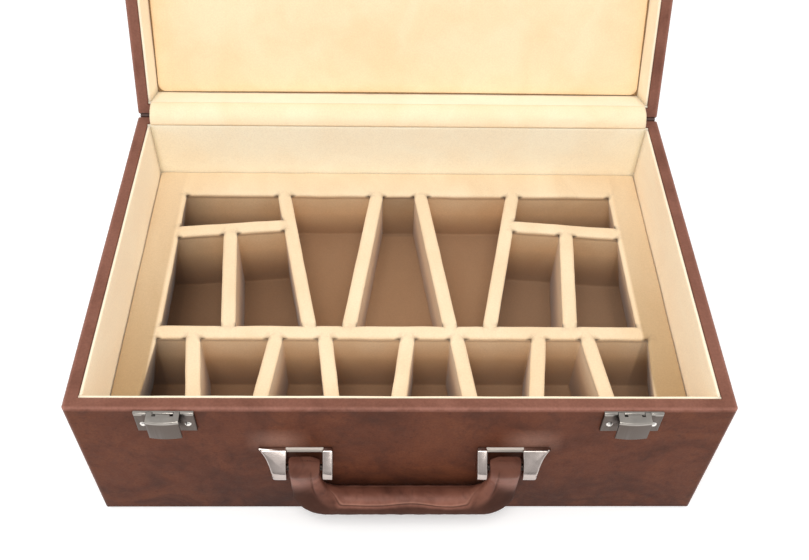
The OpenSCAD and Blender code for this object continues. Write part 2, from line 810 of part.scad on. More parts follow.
module catch_plate() {
    difference() {
        union() {
            difference() {
                pressed(plate_w, plate_z0, plate_z1, plate_t, 1);
                translate([-plate_w / 2 + sheet_t, -1, plate_z0 + sheet_t])
                    cube([plate_w - 2 * sheet_t, plate_t - sheet_t + 1, plate_h - 2 * sheet_t]);
            }
            for (k = [-1, 1]) along_x(k * ear_x - sheet_t / 2, k * ear_x + sheet_t / 2) union() {
                translate([plate_t - sheet_t / 2, lever_pin_z - ear_r])
                    square([lever_pin_u - plate_t + sheet_t / 2, 2 * ear_r]);
                translate([lever_pin_u, lever_pin_z]) circle(ear_r, $fn = 32);
            }
        }
        translate([0, lever_pin_u, lever_pin_z]) along_x(-lever_w, lever_w)
            circle(lever_pin_r, $fn = 32);
        for (k = [-1, 1]) translate([k * rivet_x, plate_t + 1, rivet_z]) rotate([90, 0, 0])
            cylinder(r = rivet_shank_r, h = plate_t + 2, $fn = 24);
        for (x = [-lever_w / 2 - 0.3, notch_x - 0.3])
            translate([x, shelf_back - 0.3, plate_z1 - sheet_t - 0.3])
                cube([lever_w / 2 - notch_x + 0.6, plate_t, sheet_t + 1]);
    }
}

module left_catch_plate() color(nickel) at_catch(-1) catch_plate();

module right_catch_plate() color(nickel) at_catch(1) catch_plate();

module catch_pin() {
    translate([0, lever_pin_u, lever_pin_z]) along_x(-pin_half, pin_half)
        circle(lever_pin_r, $fn = 32);
}

module left_catch_pin() color(steel_grey) at_catch(-1) catch_pin();

module right_catch_pin() color(steel_grey) at_catch(1) catch_pin();

// Rocking lever of bent sheet: bowed face, thumb shelf, two lugs on the pin. The shelf's ends
// lie flush in the plate's top edge. The nose in its middle enters the strike's window, and
// the notches beside the nose clear the window's frame
module catch_lever() {
    difference() {
        union() {
            intersection() {
                translate([0, bow_u, 0]) rotate_extrude($fn = 180) difference() {
                    translate([bow_r - 9, lever_z0]) square([9, lever_h]);
                    translate([bow_r - 10, lever_z0 - 1])
                        square([10 - sheet_t, lever_h + 1 - sheet_t]);
                    trim(bow_r, lever_z1, 0, 0.8);
                    trim(bow_r, lever_z0, 270, 0.4);
                }
                translate([-lever_w / 2, shelf_back, lever_z0 - 1])
                    cube([lever_w, lever_out + 2, lever_h + 2]);
            }
            for (k = [-1, 1]) along_x(k * lug_x - sheet_t / 2, k * lug_x + sheet_t / 2) union() {
                translate([lever_pin_u, lever_pin_z - lug_r])
                    square([lever_out - lever_pin_u - sheet_t / 2, 2 * lug_r]);
                translate([lever_pin_u, lever_pin_z]) circle(lug_r, $fn = 32);
            }
        }
        translate([0, lever_pin_u, lever_pin_z]) along_x(-lever_w, lever_w)
            circle(lever_pin_r + lever_fit, $fn = 32);
        translate([0, 0, lever_z1 - sheet_t - 1]) linear_extrude(sheet_t + 2) polygon([
            [-notch_x, 0], [notch_x, 0], [notch_x, notch_u], [nose_w / 2, notch_u],
            [nose_w / 2, lever_back], [-nose_w / 2, lever_back], [-nose_w / 2, notch_u],
            [-notch_x, notch_u]]);
    }
}

module left_catch_lever() color(nickel) at_catch(-1) catch_lever();

module right_catch_lever() color(nickel) at_catch(1) catch_lever();

// Faces of a skin stretched over rings of n points that run the same way round
function ring_faces(rings, n) = concat(
    [[for (j = [n - 1 : -1 : 0]) j]],
    [for (k = [0 : rings - 2], j = [0 : n - 1]) [k * n + j, k * n + (j + 1) % n, (k + 1) * n + (j + 1) % n]],
    [for (k = [0 : rings - 2], j = [0 : n - 1]) [k * n + j, (k + 1) * n + (j + 1) % n, (k + 1) * n + j]],
    [[for (j = [0 : n - 1]) (rings - 1) * n + j]]);

// Torsion spring: a coil round the pin, one leg on the plate and one behind the face
coil_r = 1.9;
coil_steps = 10 * spring_turns + 5;
coil_half = ear_x - sheet_t / 2 - 0.8;
spring_path = concat(
    [[-coil_half, plate_t + spring_wire_r + 0.1, lever_pin_z - 5.5]],
    [for (i = [0 : coil_steps]) let (a = 180 - 36 * i)
        [-coil_half + 2 * coil_half * i / coil_steps, lever_pin_u + coil_r * cos(a),
         lever_pin_z + coil_r * sin(a)]],
    [[coil_half, lever_pin_u + coil_r + 0.2, lever_pin_z - 5.5]]);

function unit(v) = v / norm(v);

module catch_spring() {
    n = len(spring_path);
    polyhedron(points = [for (i = [0 : n - 1])
            let (t = unit(spring_path[min(i + 1, n - 1)] - spring_path[max(i - 1, 0)]),
                 a = unit([1, 0, 0] - t[0] * t), b = cross(a, t))
            for (j = [0 : 5]) spring_path[i] + spring_wire_r * (cos(60 * j) * a + sin(60 * j) * b)],
        faces = ring_faces(n, 6));
}

module left_catch_spring() color(steel_grey) at_catch(-1) catch_spring();

module right_catch_spring() color(steel_grey) at_catch(1) catch_spring();

module catch_rivets() color(nickel) for (side = [-1, 1], k = [-1, 1])
    at_catch(side) translate([k * rivet_x, 0, rivet_z]) rivet(plate_t);

// Strike on the lid: plate, joggled tongue, and the window that the nose enters
module strike() {
    difference() {
        union() {
            pressed(strike_w, strike_z0, strike_z0 + strike_h, strike_t, 0.6);
            along_x(-tongue_w / 2, tongue_w / 2) polygon([
                [strike_t - tongue_t, strike_z0 + 2], [strike_t, strike_z0 + 2],
                [strike_t, strike_z0 + 0.4], [tongue_u + tongue_t, window_z1 + 0.6],
                [tongue_u + tongue_t, tongue_z0 + 0.5], [tongue_u + tongue_t - 0.3, tongue_z0],
                [tongue_u, tongue_z0], [tongue_u, window_z1 + 0.3], [strike_t - tongue_t, strike_z0]]);
        }
        translate([0, tongue_u, 0]) block(window_w, 4, window_z0, window_z1);
        for (k = [-1, 1]) translate([k * rivet_x, strike_t + 1, strike_z0 + strike_h / 2])
            rotate([90, 0, 0]) cylinder(r = rivet_shank_r, h = strike_t + 2, $fn = 24);
    }
}

module left_strike() color(nickel) on_lid() at_catch(-1) strike();

module right_strike() color(nickel) on_lid() at_catch(1) strike();

module strike_places() {
    for (side = [-1, 1], k = [-1, 1]) at_catch(side)
        translate([k * rivet_x, 0, strike_z0 + strike_h / 2]) children();
}

module strike_rivets() color(nickel) on_lid() strike_places() rivet(strike_t);

// Section of a bracket cheek in (out from the wall, z): a slanted face that runs
// into a round end below the pin
module cheek_section() {
    dx = bracket_top_u - handle_pin_out;
    dz = bracket_z1 - cheek_z;
    a = atan2(dz, dx) - acos(cheek_r / norm([dx, dz]));
    union() {
        translate([handle_pin_out, cheek_z]) circle(cheek_r, $fn = round_fn);
        polygon([[0, cheek_z - cheek_r], [handle_pin_out, cheek_z - cheek_r],
            [handle_pin_out, cheek_z],
            [handle_pin_out + cheek_r * cos(a), cheek_z + cheek_r * sin(a)],
            [bracket_top_u, bracket_z1], [0, bracket_z1]]);
    }
}

// Spans measured from the middle of the case outward, on one side of the wall frame
module span(k, a, b) {
    along_x(k > 0 ? a : -b, k > 0 ? b : -a) children();
}

// Middle of the hollow edge's circle, which meets the wing's tip and the foot's side
wing_chord = [wing_reach, wing_h];
wing_c = [foot_x, bracket_z1 - wing_h] + wing_chord / 2 + sqrt(wing_r * wing_r / (wing_chord * wing_chord) - 0.25)
    * [wing_h, -wing_reach];

module bracket(k) {
    difference() {
        union() {
            span(k, bracket_in, slot_x0) cheek_section();
            span(k, slot_x0 - 1, slot_x1 + 1) translate([0, bridge_z0]) square([bridge_d, bridge_h]);
            intersection() {
                span(k, slot_x1, wing_x) cheek_section();
                along_y(-1, 30) difference() {
                    translate([k > 0 ? slot_x1 : -wing_x, 0]) square([wing_x - slot_x1, bracket_z1 + 1]);
                    intersection() {
                        translate([k * wing_c[0], wing_c[1]]) circle(wing_r, $fn = 96);
                        translate([k > 0 ? foot_x : -foot_x - 50, 0]) square([50, 100]);
                    }
                    translate([k > 0 ? foot_x : -wing_x - 1, 0])
                        square([wing_reach + 1, bracket_z1 - wing_h]);
                }
            }
        }
        handle_pin(k);
        for (x = bracket_screw_x()) translate([k * x, -1, screw_z]) rotate([-90, 0, 0])
            cylinder(r = screw_r, h = screw_depth + 1, $fn = 24);
    }
}

module handle_pin(k) {
    translate([0, handle_pin_out, handle_pin_z]) span(k, bracket_in, foot_x - 2)
        circle(handle_pin_r, $fn = 32);
}

module left_handle_bracket() color(chrome_bright) at_handle() bracket(1);

module right_handle_bracket() color(chrome_bright) at_handle() bracket(-1);

module handle_pins() color(steel_grey) at_handle() for (k = [-1, 1]) handle_pin(k);

module handle_screws() color(steel_grey) at_handle() for (k = [-1, 1], x = bracket_screw_x())
    translate([k * x, 0, screw_z]) {
        translate([0, -skin_t - board_t + screw_head_h - eps, 0]) rotate([-90, 0, 0])
            cylinder(r = screw_r, h = skin_t + board_t - screw_head_h + screw_depth, $fn = 24);
        translate([0, -skin_t - board_t, 0]) rotate([-90, 0, 0])
            cylinder(r = screw_head_r, h = screw_head_h, $fn = 32);
    }

// The handle hangs as a flat strap at each pin and swells into a round grip. Its skin runs
// between two rails, one inside the bend and one outside it.
inner_c = [loop_x0 - inner_fillet_r, grip_z + grip_r + inner_fillet_r];
outer_c = [loop_x1 - handle_corner_r, grip_z - grip_r + handle_corner_r];
top_z = handle_pin_z - 4.5;
bend_steps = 9;
function smooth(t) = t * t * (3 - 2 * t);
// Stations of one half, from the pin to the middle: inner rail, outer rail, swelling
half_stations = concat(
    [[[loop_x0, top_z], [loop_x1, top_z], 0],
     [[loop_x0, top_z - 4], [loop_x1, top_z - 9], 0],
     [[loop_x0, top_z - 6], [loop_x1, top_z - 18], 0.03]],
    [for (i = [0 : bend_steps]) let (a = 90 * i / bend_steps)
        [inner_c + inner_fillet_r * [cos(a), -sin(a)], outer_c + handle_corner_r * [cos(a), -sin(a)],
         smooth((i + 1.5) / (bend_steps + 1.5))]],
    [for (x = [30, 20, 10]) [[x, grip_z + grip_r], [x < 25 ? x : 40, grip_z - grip_r], 1]]);
half_n = len(half_stations);
stations = concat(half_stations, [[[0, grip_z + grip_r], [0, grip_z - grip_r], 1]],
    [for (i = [half_n - 1 : -1 : 0]) let (s = half_stations[i]) [flip_x(s[0]), flip_x(s[1]), s[2]]]);
handle_sides = 24;

function puffed(c, e) = sign(c) * pow(abs(c), e);

module handle_skin() {
    polyhedron(points = [for (s = stations)
            let (m = (s[0] + s[1]) / 2, d = (s[1] - s[0]) / 2, e = 0.5 + 0.5 * s[2],
                 h = strap_half_t + (grip_r - strap_half_t) * s[2],
                 u = handle_pin_out + (grip_u - handle_pin_out) * s[2])
            for (j = [0 : handle_sides - 1]) let (c = puffed(cos(360 * j / handle_sides), e),
                 v = puffed(sin(360 * j / handle_sides), e))
                [m[0] + c * d[0], u + v * h, m[1] + c * d[1]]],
        faces = ring_faces(len(stations), handle_sides));
}

module handle_grip() color(leather_brown) at_handle() difference() {
    union() {
        handle_skin();
        for (k = [-1, 1]) span(k, loop_x0, loop_x1) union() {
            translate([handle_pin_out, handle_pin_z]) circle(loop_r, $fn = round_fn);
            polygon([[handle_pin_out - strap_half_t, handle_pin_z - 12],
                [handle_pin_out + strap_half_t, handle_pin_z - 12],
                [handle_pin_out + 0.88 * loop_r, handle_pin_z - 0.47 * loop_r],
                [handle_pin_out - 0.88 * loop_r, handle_pin_z - 0.47 * loop_r]]);
        }
    }
    for (k = [-1, 1]) translate([0, handle_pin_out, handle_pin_z])
        span(k, loop_x0 - 1, loop_x1 + 1) circle(handle_pin_r + handle_fit, $fn = 32);
    core_rod();
}

module core_rod() {
    translate([0, grip_u, grip_z]) along_x(-core_half, core_half) circle(core_rod_r, $fn = 32);
}

module handle_core() color(board_tan) at_handle() core_rod();

// Lid boards, drawn shut
module lid_top_board() color(board_tan) on_lid() intersection() {
    lid_core();
    block(case_w, case_d, lid_board_z, lid_top_z);
}

module lid_front_board() color(board_tan) on_lid() difference() {
    intersection() {
        lid_core();
        translate([-case_w / 2, -board_d / 2, base_h]) cube([case_w, board_t, lid_board_z - base_h]);
    }
    strike_places() rivet_bore();
}

module lid_back_board() color(board_tan) on_lid() difference() {
    intersection() {
        lid_core();
        translate([-case_w / 2, wall_in_d / 2, base_h]) cube([case_w, board_t, lid_board_z - base_h]);
    }
    hinge_groove();
    turned_over() leaf_pocket();
    turned_over() leaf_screws();
}

module lid_side(side) {
    on_lid() intersection() {
        lid_core();
        translate([side * (board_w - board_t) / 2, 0, 0])
            block(board_t, wall_in_d, base_h, lid_board_z);
    }
}

module lid_left_board() color(board_tan) lid_side(-1);

module lid_right_board() color(board_tan) lid_side(1);

module lid_wrap() color(leather_brown) on_lid() difference() {
    soft_block(case_w, case_d, lid_rim_z, lid_top_z, corner_r, lid_edge_r, edge_r);
    difference() {
        lid_core();
        block(wall_in_w, wall_in_d, base_h, lid_rim_z + turn_in);
    }
    turned_over() opening(rect(mouth_w, mouth_d), rim_z - turn_in - 1, rim_z, mouth_r);
    hinge_groove();
    turned_over() leaf_pocket();
    strike_places() rivet_bore();
}

module lid_front_lining() color(suede_cream) on_lid() lining_x(-1, lid_rim_z + gusset_t, lid_board_z);

module lid_back_lining() color(suede_cream) on_lid() lining_x(1, lid_rim_z + gusset_t, lid_board_z);

module lid_left_lining() color(suede_cream) on_lid() lining_y(-1, lid_rim_z + gusset_t, lid_board_z);

module lid_right_lining() color(suede_cream) on_lid() lining_y(1, lid_rim_z + gusset_t, lid_board_z);

// Padded panel in the top of the lid: a thin drawn-in edge, a quick swell, a slow crown
panel_w = lined_w - 2 * panel_gap;
panel_d = lined_d - 2 * panel_gap;
panel_mid_t = lid_board_z - lid_rim_z - panel_depth;
panel_edge_t = 1;
swell_w = 8;
arc_steps = 5;
panel_insets = [0, 0, 0.25, 0.8, 1.8, 3.4, 5.6, 8, 14, 26, 44, 68, 94, 116];
function panel_h(i, d) = i == 0 ? 0 : panel_edge_t
    + (panel_mid_t - panel_edge_t) * (0.55 * sqrt(1 - pow(1 - min(d / swell_w, 1), 2))
    + 0.45 * (1 - pow(1 - d / (panel_d / 2), 2)));
function ring(d, z) = let (r = max(panel_r - d, 0.6), x = panel_w / 2 - d - r, y = panel_d / 2 - d - r)
    [for (q = [0 : 3]) let (cx = (q == 0 || q == 3) ? x : -x, cy = q < 2 ? y : -y)
        for (i = [0 : arc_steps]) let (a = 90 * q + 90 * i / arc_steps)
            [cx + r * cos(a), cy + r * sin(a), z]];

module lid_panel() color(panel_peach) on_lid() {
    n = 4 * (arc_steps + 1);
    polyhedron(points = [for (i = [0 : len(panel_insets) - 1])
            each ring(panel_insets[i], lid_board_z - panel_h(i, panel_insets[i]))],
        faces = ring_faces(len(panel_insets), n));
}

base_floor_board();
base_front_board();
base_back_board();
base_left_board();
base_right_board();
base_underside();
base_wrap();
base_front_lining();
base_back_lining();
base_left_lining();
base_right_lining();
tray_floor_pad();
centre_slot_pads();
tray_front_border();
tray_back_border();
tray_left_border();
tray_right_border();
tray_cross_rail();
tray_side_rails();
tray_long_partitions();
tray_side_partitions();
tray_pawn_partitions();
hinge_lower_leaf();
hinge_pin();
lower_hinge_screws();
lid_gusset();
left_catch_plate();
right_catch_plate();
left_catch_pin();
right_catch_pin();
left_catch_spring();
right_catch_spring();
catch_rivets();
left_catch_lever();
right_catch_lever();
left_handle_bracket();
right_handle_bracket();
handle_pins();
handle_screws();
handle_core();
handle_grip();
lid_top_board();
lid_front_board();
lid_back_board();
lid_left_board();
lid_right_board();
lid_wrap();
lid_front_lining();
lid_back_lining();
lid_left_lining();
lid_right_lining();
lid_panel();
hinge_upper_leaf();
upper_hinge_screws();
left_strike();
right_strike();
strike_rivets();
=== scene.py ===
# %% [markdown]
# # Dressing a chess piece box
#
# The box is a board carcass covered in brown leatherette and lined in cream suede cloth.
# A tray with seventeen wells lies in it, the lid stands open on its hinge, and the front
# carries two catches and a handle. All of it exists already as exact solids. This lesson
# keeps those that are right, gives them a finish, and builds the soft parts anew.
#
# The solids are loaded first. They are the frame that every new piece has to fit.

# %% Load the solids
import math

import bmesh
import bpy
import numpy as np
from mathutils import Matrix
from mathutils.geometry import delaunay_2d_cdt


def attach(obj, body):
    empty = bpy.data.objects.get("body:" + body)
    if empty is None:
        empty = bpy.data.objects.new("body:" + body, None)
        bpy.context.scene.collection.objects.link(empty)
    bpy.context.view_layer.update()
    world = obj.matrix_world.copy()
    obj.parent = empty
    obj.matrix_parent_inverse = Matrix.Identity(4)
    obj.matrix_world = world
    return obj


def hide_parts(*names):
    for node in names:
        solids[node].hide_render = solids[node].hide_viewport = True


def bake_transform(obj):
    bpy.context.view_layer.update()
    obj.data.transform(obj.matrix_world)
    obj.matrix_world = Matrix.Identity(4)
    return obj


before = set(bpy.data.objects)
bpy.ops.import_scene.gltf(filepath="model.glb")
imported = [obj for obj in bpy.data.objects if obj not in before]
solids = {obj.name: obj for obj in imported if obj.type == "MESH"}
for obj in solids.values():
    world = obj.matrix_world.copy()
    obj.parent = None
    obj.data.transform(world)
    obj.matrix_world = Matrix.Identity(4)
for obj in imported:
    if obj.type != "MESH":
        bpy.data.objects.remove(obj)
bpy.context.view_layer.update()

# %% [markdown]
# ## The camera
#
# The box was seen from above its front edge, at arm's length, so its near edges look much
# larger than its far ones. A camera can be placed by eye, but a least-squares fit of the
# corners of rim, tray and lid is more exact. It gives a place, three angles and a focal
# length. The angles turn a camera that first looks level along Y.

# %% Camera
MM = 0.001
PICTURE_W = 809
SENSOR_W = 36.0
FOCAL_PX = 949.1
EYE = np.array([-10.9, -439.5, 594.1])
YAW, PITCH, ROLL = np.radians([1.87, 49.21, -1.67])

ahead = np.array([math.sin(YAW) * math.cos(PITCH), math.cos(YAW) * math.cos(PITCH),
                  -math.sin(PITCH)])
level_right = np.array([math.cos(YAW), -math.sin(YAW), 0.0])
level_down = np.cross(ahead, level_right)
right = level_right * math.cos(ROLL) + level_down * math.sin(ROLL)
down = level_down * math.cos(ROLL) - level_right * math.sin(ROLL)


def stood(columns, place):
    """The matrix of an object whose three axes are the columns, at a place in millimetres."""
    matrix = np.eye(4)
    matrix[:3] = np.column_stack([*columns, np.asarray(place, float) * MM])
    return Matrix(matrix)


camera = bpy.data.objects.new("camera", bpy.data.cameras.new("camera"))
camera.data.sensor_width = SENSOR_W
camera.data.lens = FOCAL_PX * SENSOR_W / PICTURE_W
camera.data.clip_start = 0.02
camera.matrix_world = stood([right, -down, -ahead], EYE)
bpy.context.scene.collection.objects.link(camera)
bpy.context.scene.camera = camera
print("lens:", round(camera.data.lens, 2), "mm")

# %% [markdown]
# ## Tools for surfaces
#
# Most new pieces are grids: a shape is worked out for every pair of two parameters at once,
# and neighbouring samples are joined by quads. A piece could also be modelled by pushing
# vertices about, but a formula keeps it tied to the sizes of the solids, and one change of a
# number remakes it. Where grids share a border, equal points are merged, and then all faces
# are turned outward.

# %% Grids and pieces
def quads(rows, columns):
    """Faces between neighbouring samples of a grid of closed rings. Sample (i, j) has the
    number i * columns + j, and the last column joins the first."""
    i, j = np.meshgrid(np.arange(rows - 1), np.arange(columns), indexing="ij")
    k = (j + 1) % columns
    corners = [i * columns + j, i * columns + k, (i + 1) * columns + k, (i + 1) * columns + j]
    return np.stack(corners, -1).reshape(-1, 4).tolist()


def cup_faces(rows, columns):
    """Faces of a grid of closed rings, with one face over the last ring."""
    return quads(rows, columns) + [list(range((rows - 1) * columns, rows * columns))]


def tube_faces(rows, columns):
    """Faces of a grid of closed rings, with one face over each end."""
    return cup_faces(rows, columns) + [list(range(columns))[::-1]]


def linked(name, mesh):
    """A new object for a mesh, smooth all over, in the scene."""
    mesh.polygons.foreach_set("use_smooth", np.ones(len(mesh.polygons), bool))
    made = bpy.data.objects.new(name, mesh)
    bpy.context.scene.collection.objects.link(made)
    return made


def piece(name, points, faces, finish, marks=None, merge=0.002):
    """A new object from points in millimetres and a list of faces. Points closer than merge
    become one. marks are named values, one for each point, that a finish can read."""
    mesh = bpy.data.meshes.new(name)
    mesh.from_pydata((np.asarray(points, float).reshape(-1, 3) * MM).tolist(), [], faces)
    for mark, values in (marks or {}).items():
        layer = mesh.attributes.new(mark, "FLOAT", "POINT")
        layer.data.foreach_set("value", np.ravel(values).astype(np.float32))
    work = bmesh.new()
    work.from_mesh(mesh)
    bmesh.ops.remove_doubles(work, verts=work.verts, dist=merge * MM)
    bmesh.ops.recalc_face_normals(work, faces=work.faces)
    work.to_mesh(mesh)
    work.free()
    mesh.materials.append(finish)
    return linked(name, mesh)


def settle(made, body, slot, *replaced):
    """The piece rides on a body and stands for solids; slot is not used."""
    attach(made, body)
    if replaced:
        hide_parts(*replaced)
    print(f"{made.name}: {len(made.data.vertices)} points on {body}, for {len(replaced)} solids")
    return made


# %% [markdown]
# Three curves come back in many places: a smooth step, a bell, and gentle waves that keep a
# cloth or a leather from looking ruled. The waves are sums of sines with drawn directions.
# Noise would do as well, but sines are smooth everywhere and cost one line.

# %% Curves used everywhere
def ease(t):
    """0 up to t = 0, 1 from t = 1, and a smooth step between them."""
    t = np.clip(t, 0, 1)
    return t * t * (3 - 2 * t)


def bell(value, middle, width):
    """1 at the middle, falling on both sides: e to the minus square of distance by width."""
    return np.exp(-((value - middle) / width) ** 2)


def ripple(x, y, length, seed):
    """Gentle waves of about that length, mostly between -1 and 1: a sum of six sine waves
    whose directions, lengths and phases are drawn with the seed."""
    draw = np.random.default_rng(seed)
    total = 0
    for _ in range(6):
        way, stretch, phase = (draw.uniform(0, 2 * math.pi), draw.uniform(0.7, 1.5),
                               draw.uniform(0, 2 * math.pi))
        along = x * math.cos(way) + y * math.sin(way)
        total = total + np.sin(2 * math.pi * along / (length * stretch) + phase)
    return total / 3


# %% [markdown]
# ## The open lid
#
# Everything on the lid is easier to describe while the lid is shut, because its sides are
# then level and upright. Each point is worked out there and turned back about the hinge.

# %% From shut to open
HINGE_Y, PARTING_Z = 133.0, 122.0
LID_OPEN_DEG = 112
OPEN = math.radians(LID_OPEN_DEG)


def opened(points):
    """Points of the shut lid, turned back about the hinge's axis by the opening angle."""
    x, dy, dz = (np.asarray(points, float).reshape(-1, 3) - [0, HINGE_Y, PARTING_Z]).T
    return np.column_stack([x, HINGE_Y + dy * math.cos(OPEN) + dz * math.sin(OPEN),
                            PARTING_Z - dy * math.sin(OPEN) + dz * math.cos(OPEN)])


# %% [markdown]
# ## Tools for finishes
#
# A finish is a small net of nodes: noise gives clouds, speckle and grain, ramps turn it into
# colours, and a bump node turns it into relief. Pictures could do the same, but nodes need no
# file and follow the object's own coordinates at their true scale. Sizes and places are given
# in millimetres, and colours as they are seen, from 0 to 255. Stains, painted shade and painted
# light are all laid over a colour by a share; where each lies is a product of spans along the
# coordinates.

# %% Finishes
def seen(red, green, blue):
    """A colour seen on a screen, made linear for the shader."""
    part = np.array([red, green, blue]) / 255
    return (*np.where(part < 0.04045, part / 12.92, ((part + 0.055) / 1.055) ** 2.4), 1.0)


class Finish:
    """A material under construction, with a Principled shader and the object's coordinates."""

    def __init__(self, name, **fixed):
        self.material = bpy.data.materials.new(name)
        self.material.use_nodes = True
        self.tree = self.material.node_tree
        self.shader = self.tree.nodes["Principled BSDF"]
        self.place = self.tree.nodes.new("ShaderNodeTexCoord").outputs["Object"]
        for socket, value in fixed.items():
            self.shader.inputs[socket.replace("_", " ")].default_value = value

    def node(self, kind, inputs=(), **settings):
        """A node with its settings, and each input set or wired by its number or name."""
        made = self.tree.nodes.new(kind)
        for key, value in settings.items():
            setattr(made, key, value)
        for key, value in dict(inputs).items():
            if isinstance(value, bpy.types.NodeSocket):
                self.tree.links.new(value, made.inputs[key])
            elif value is not None:
                made.inputs[key].default_value = value
        return made

    def placed(self, scale=(1, 1, 1), rotation=(0, 0, 0), location=(0, 0, 0)):
        """The object's coordinates, stretched, turned and moved."""
        return self.node("ShaderNodeMapping", {0: self.place, "Scale": scale, "Rotation": rotation,
                                               "Location": location}).outputs[0]

    def xyz(self, at=None):
        """The three coordinates, one by one."""
        return self.node("ShaderNodeSeparateXYZ", {0: at or self.place}).outputs

    def mark(self, name):
        """A mark that the piece's points carry."""
        return self.node("ShaderNodeAttribute", attribute_name=name).outputs["Fac"]

    def noise(self, size, detail=3, rough=0.55, twist=0, at=None):
        """Clouds whose lumps are about size millimetres across."""
        return self.node("ShaderNodeTexNoise", {
            "Vector": at or self.place, "Scale": 1 / (size * MM), "Detail": detail,
            "Roughness": rough, "Distortion": twist}).outputs[0]

    def pebbles(self, size, at=None):
        """Rounded cells about size millimetres across, as in an embossed skin."""
        return self.node("ShaderNodeTexVoronoi", {
            "Vector": at or self.place, "Scale": 1 / (size * MM)}, feature="SMOOTH_F1").outputs[0]

    def sums(self, kind, a, b=None, c=None, clamp=False):
        """One step of arithmetic."""
        return self.node("ShaderNodeMath", {0: a, 1: b, 2: c}, operation=kind,
                         use_clamp=clamp).outputs[0]

    def times(self, first, *others):
        """The product of several values."""
        for other in others:
            first = self.sums("MULTIPLY", first, other)
        return first

    def off(self, coordinate, middle=0.0):
        """How far a coordinate lies from a middle, to either side."""
        return self.sums("ABSOLUTE", self.sums("SUBTRACT", coordinate, middle * MM))

    def span(self, value, low, high, to_low=0.0, to_high=1.0):
        """Value from low to high, carried to another span and held at its ends."""
        return self.node("ShaderNodeMapRange", {0: value, 1: low, 2: high, 3: to_low,
                                                4: to_high}).outputs[0]

    def between(self, coordinate, start, end, to_start=0.0, to_end=1.0):
        """A coordinate from start to end in millimetres, carried to another span."""
        return self.span(coordinate, start * MM, end * MM, to_start, to_end)

    def ramp(self, value, *stops):
        """Colours along a value; each stop is a place and a colour."""
        made = self.node("ShaderNodeValToRGB", {0: value})
        points = made.color_ramp.elements
        while len(points) < len(stops):
            points.new(0.5)
        for point, (place, colour) in zip(points, stops):
            point.position, point.color = place, seen(*colour)
        return made.outputs[0]

    def mixed(self, share, a, b, kind="MIX"):
        """Two colours mixed by a share from 0 to 1."""
        return self.node("ShaderNodeMix", {0: share, 6: a, 7: b}, data_type="RGBA",
                         blend_type=kind).outputs[2]

    def overlaid(self, colour, share, shade):
        """A colour with a shade laid over it."""
        return self.mixed(share, colour, seen(*shade))

    def speckled(self, colour, noise, low, high):
        """A colour times a grey that runs from low to high with the middle part of a noise."""
        grey = self.span(noise, 0.3, 0.7, low, high)
        grey = self.node("ShaderNodeCombineColor", {0: grey, 1: grey, 2: grey}).outputs[0]
        return self.mixed(1.0, colour, grey, "MULTIPLY")

    def wire(self, socket, value):
        """Leads a value to one of the shader's sockets."""
        self.tree.links.new(value, self.shader.inputs[socket])

    def finish(self, colour, rough, relief, depth):
        """Wires colour, roughness and a relief of that depth in millimetres to the shader."""
        self.wire("Base Color", colour)
        self.wire("Roughness", rough)
        self.wire("Normal", self.node("ShaderNodeBump", {
            "Height": relief, "Strength": 1.0, "Distance": depth * MM}).outputs[0])
        return self.material


# %% [markdown]
# ## Leatherette
#
# The covering is a coated cloth with a printed, marbled brown: warm patches, darker smudges
# drawn out like smoke, small dark spots and a fine pebbled grain. The marbling is layers of
# noise and the grain is small rounded cells. Where the covering bends over an edge, its coat
# has worn and shows a lighter, pinkish tone. The worn edges are found from the distance to
# the sides of the case, so they follow its edges exactly, and the flat rim between base and
# lid is lighter, a painted highlight as if lit from above. The lid's coordinates are first turned
# shut.

# %% Leatherette
CASE_W, CASE_D = 400.0, 266.0
BASE_Z, LID_Z = (0.2, 121.8), (122.2, 156)
WORN_W = 2.6
HANDLE_SHIFT = 2.5


def near_edge(skin, at, low_z, high_z):
    """1 along the edges of a box and 0 away from them. Each axis gives 1 at its sides; where
    two of them do, there is an edge, so the three products are summed."""
    x, y, z = skin.xyz(at)
    side_x = skin.between(skin.off(x), CASE_W / 2 - WORN_W, CASE_W / 2)
    side_y = skin.between(skin.off(y), CASE_D / 2 - WORN_W, CASE_D / 2)
    side_z = skin.sums("MAXIMUM", skin.between(z, high_z - WORN_W, high_z),
                       skin.between(z, low_z + WORN_W, low_z))
    return skin.sums("MULTIPLY_ADD", side_x, side_y, skin.sums(
        "MULTIPLY_ADD", side_y, side_z, skin.times(side_x, side_z)), clamp=True)


def base_stains_and_light(skin, brown, smoke):
    """Stains, painted shade and painted light of the base alone: smoke that drifts along the
    lower half, painted shade at the foot beneath the handle, a painted glint above each bracket,
    and a hem line near the floor."""
    x, y, z = skin.xyz()
    drift = skin.span(skin.noise(46, detail=6, rough=0.6, twist=1.4), 0.5, 0.66, 0, 0.6)
    brown = skin.overlaid(brown, skin.times(drift, skin.between(z, 75, 20)), (58, 34, 28))
    aside = skin.off(x, HANDLE_SHIFT)
    # Painted shade at the foot beneath the handle, strongest towards the middle.
    foot = skin.times(skin.between(z, 55, 22), skin.between(aside, 165, 105, 0.3, 1.0),
                      skin.span(smoke, 0.35, 0.6, 0.3, 0.6))
    brown = skin.overlaid(brown, foot, (56, 34, 29))
    # Painted glint on the covering above each bracket.
    bracket_glint = skin.times(skin.between(skin.off(aside, 78), 21, 4),
                               skin.between(skin.off(z, 86), 15, 3),
                               skin.between(y, -131.5, -132.5, 0, 0.27))
    brown = skin.overlaid(brown, bracket_glint, (186, 146, 130))
    return skin.overlaid(brown, skin.between(skin.off(z, 4.2), 0.3, 0.8, 0.35, 0), (58, 34, 28))


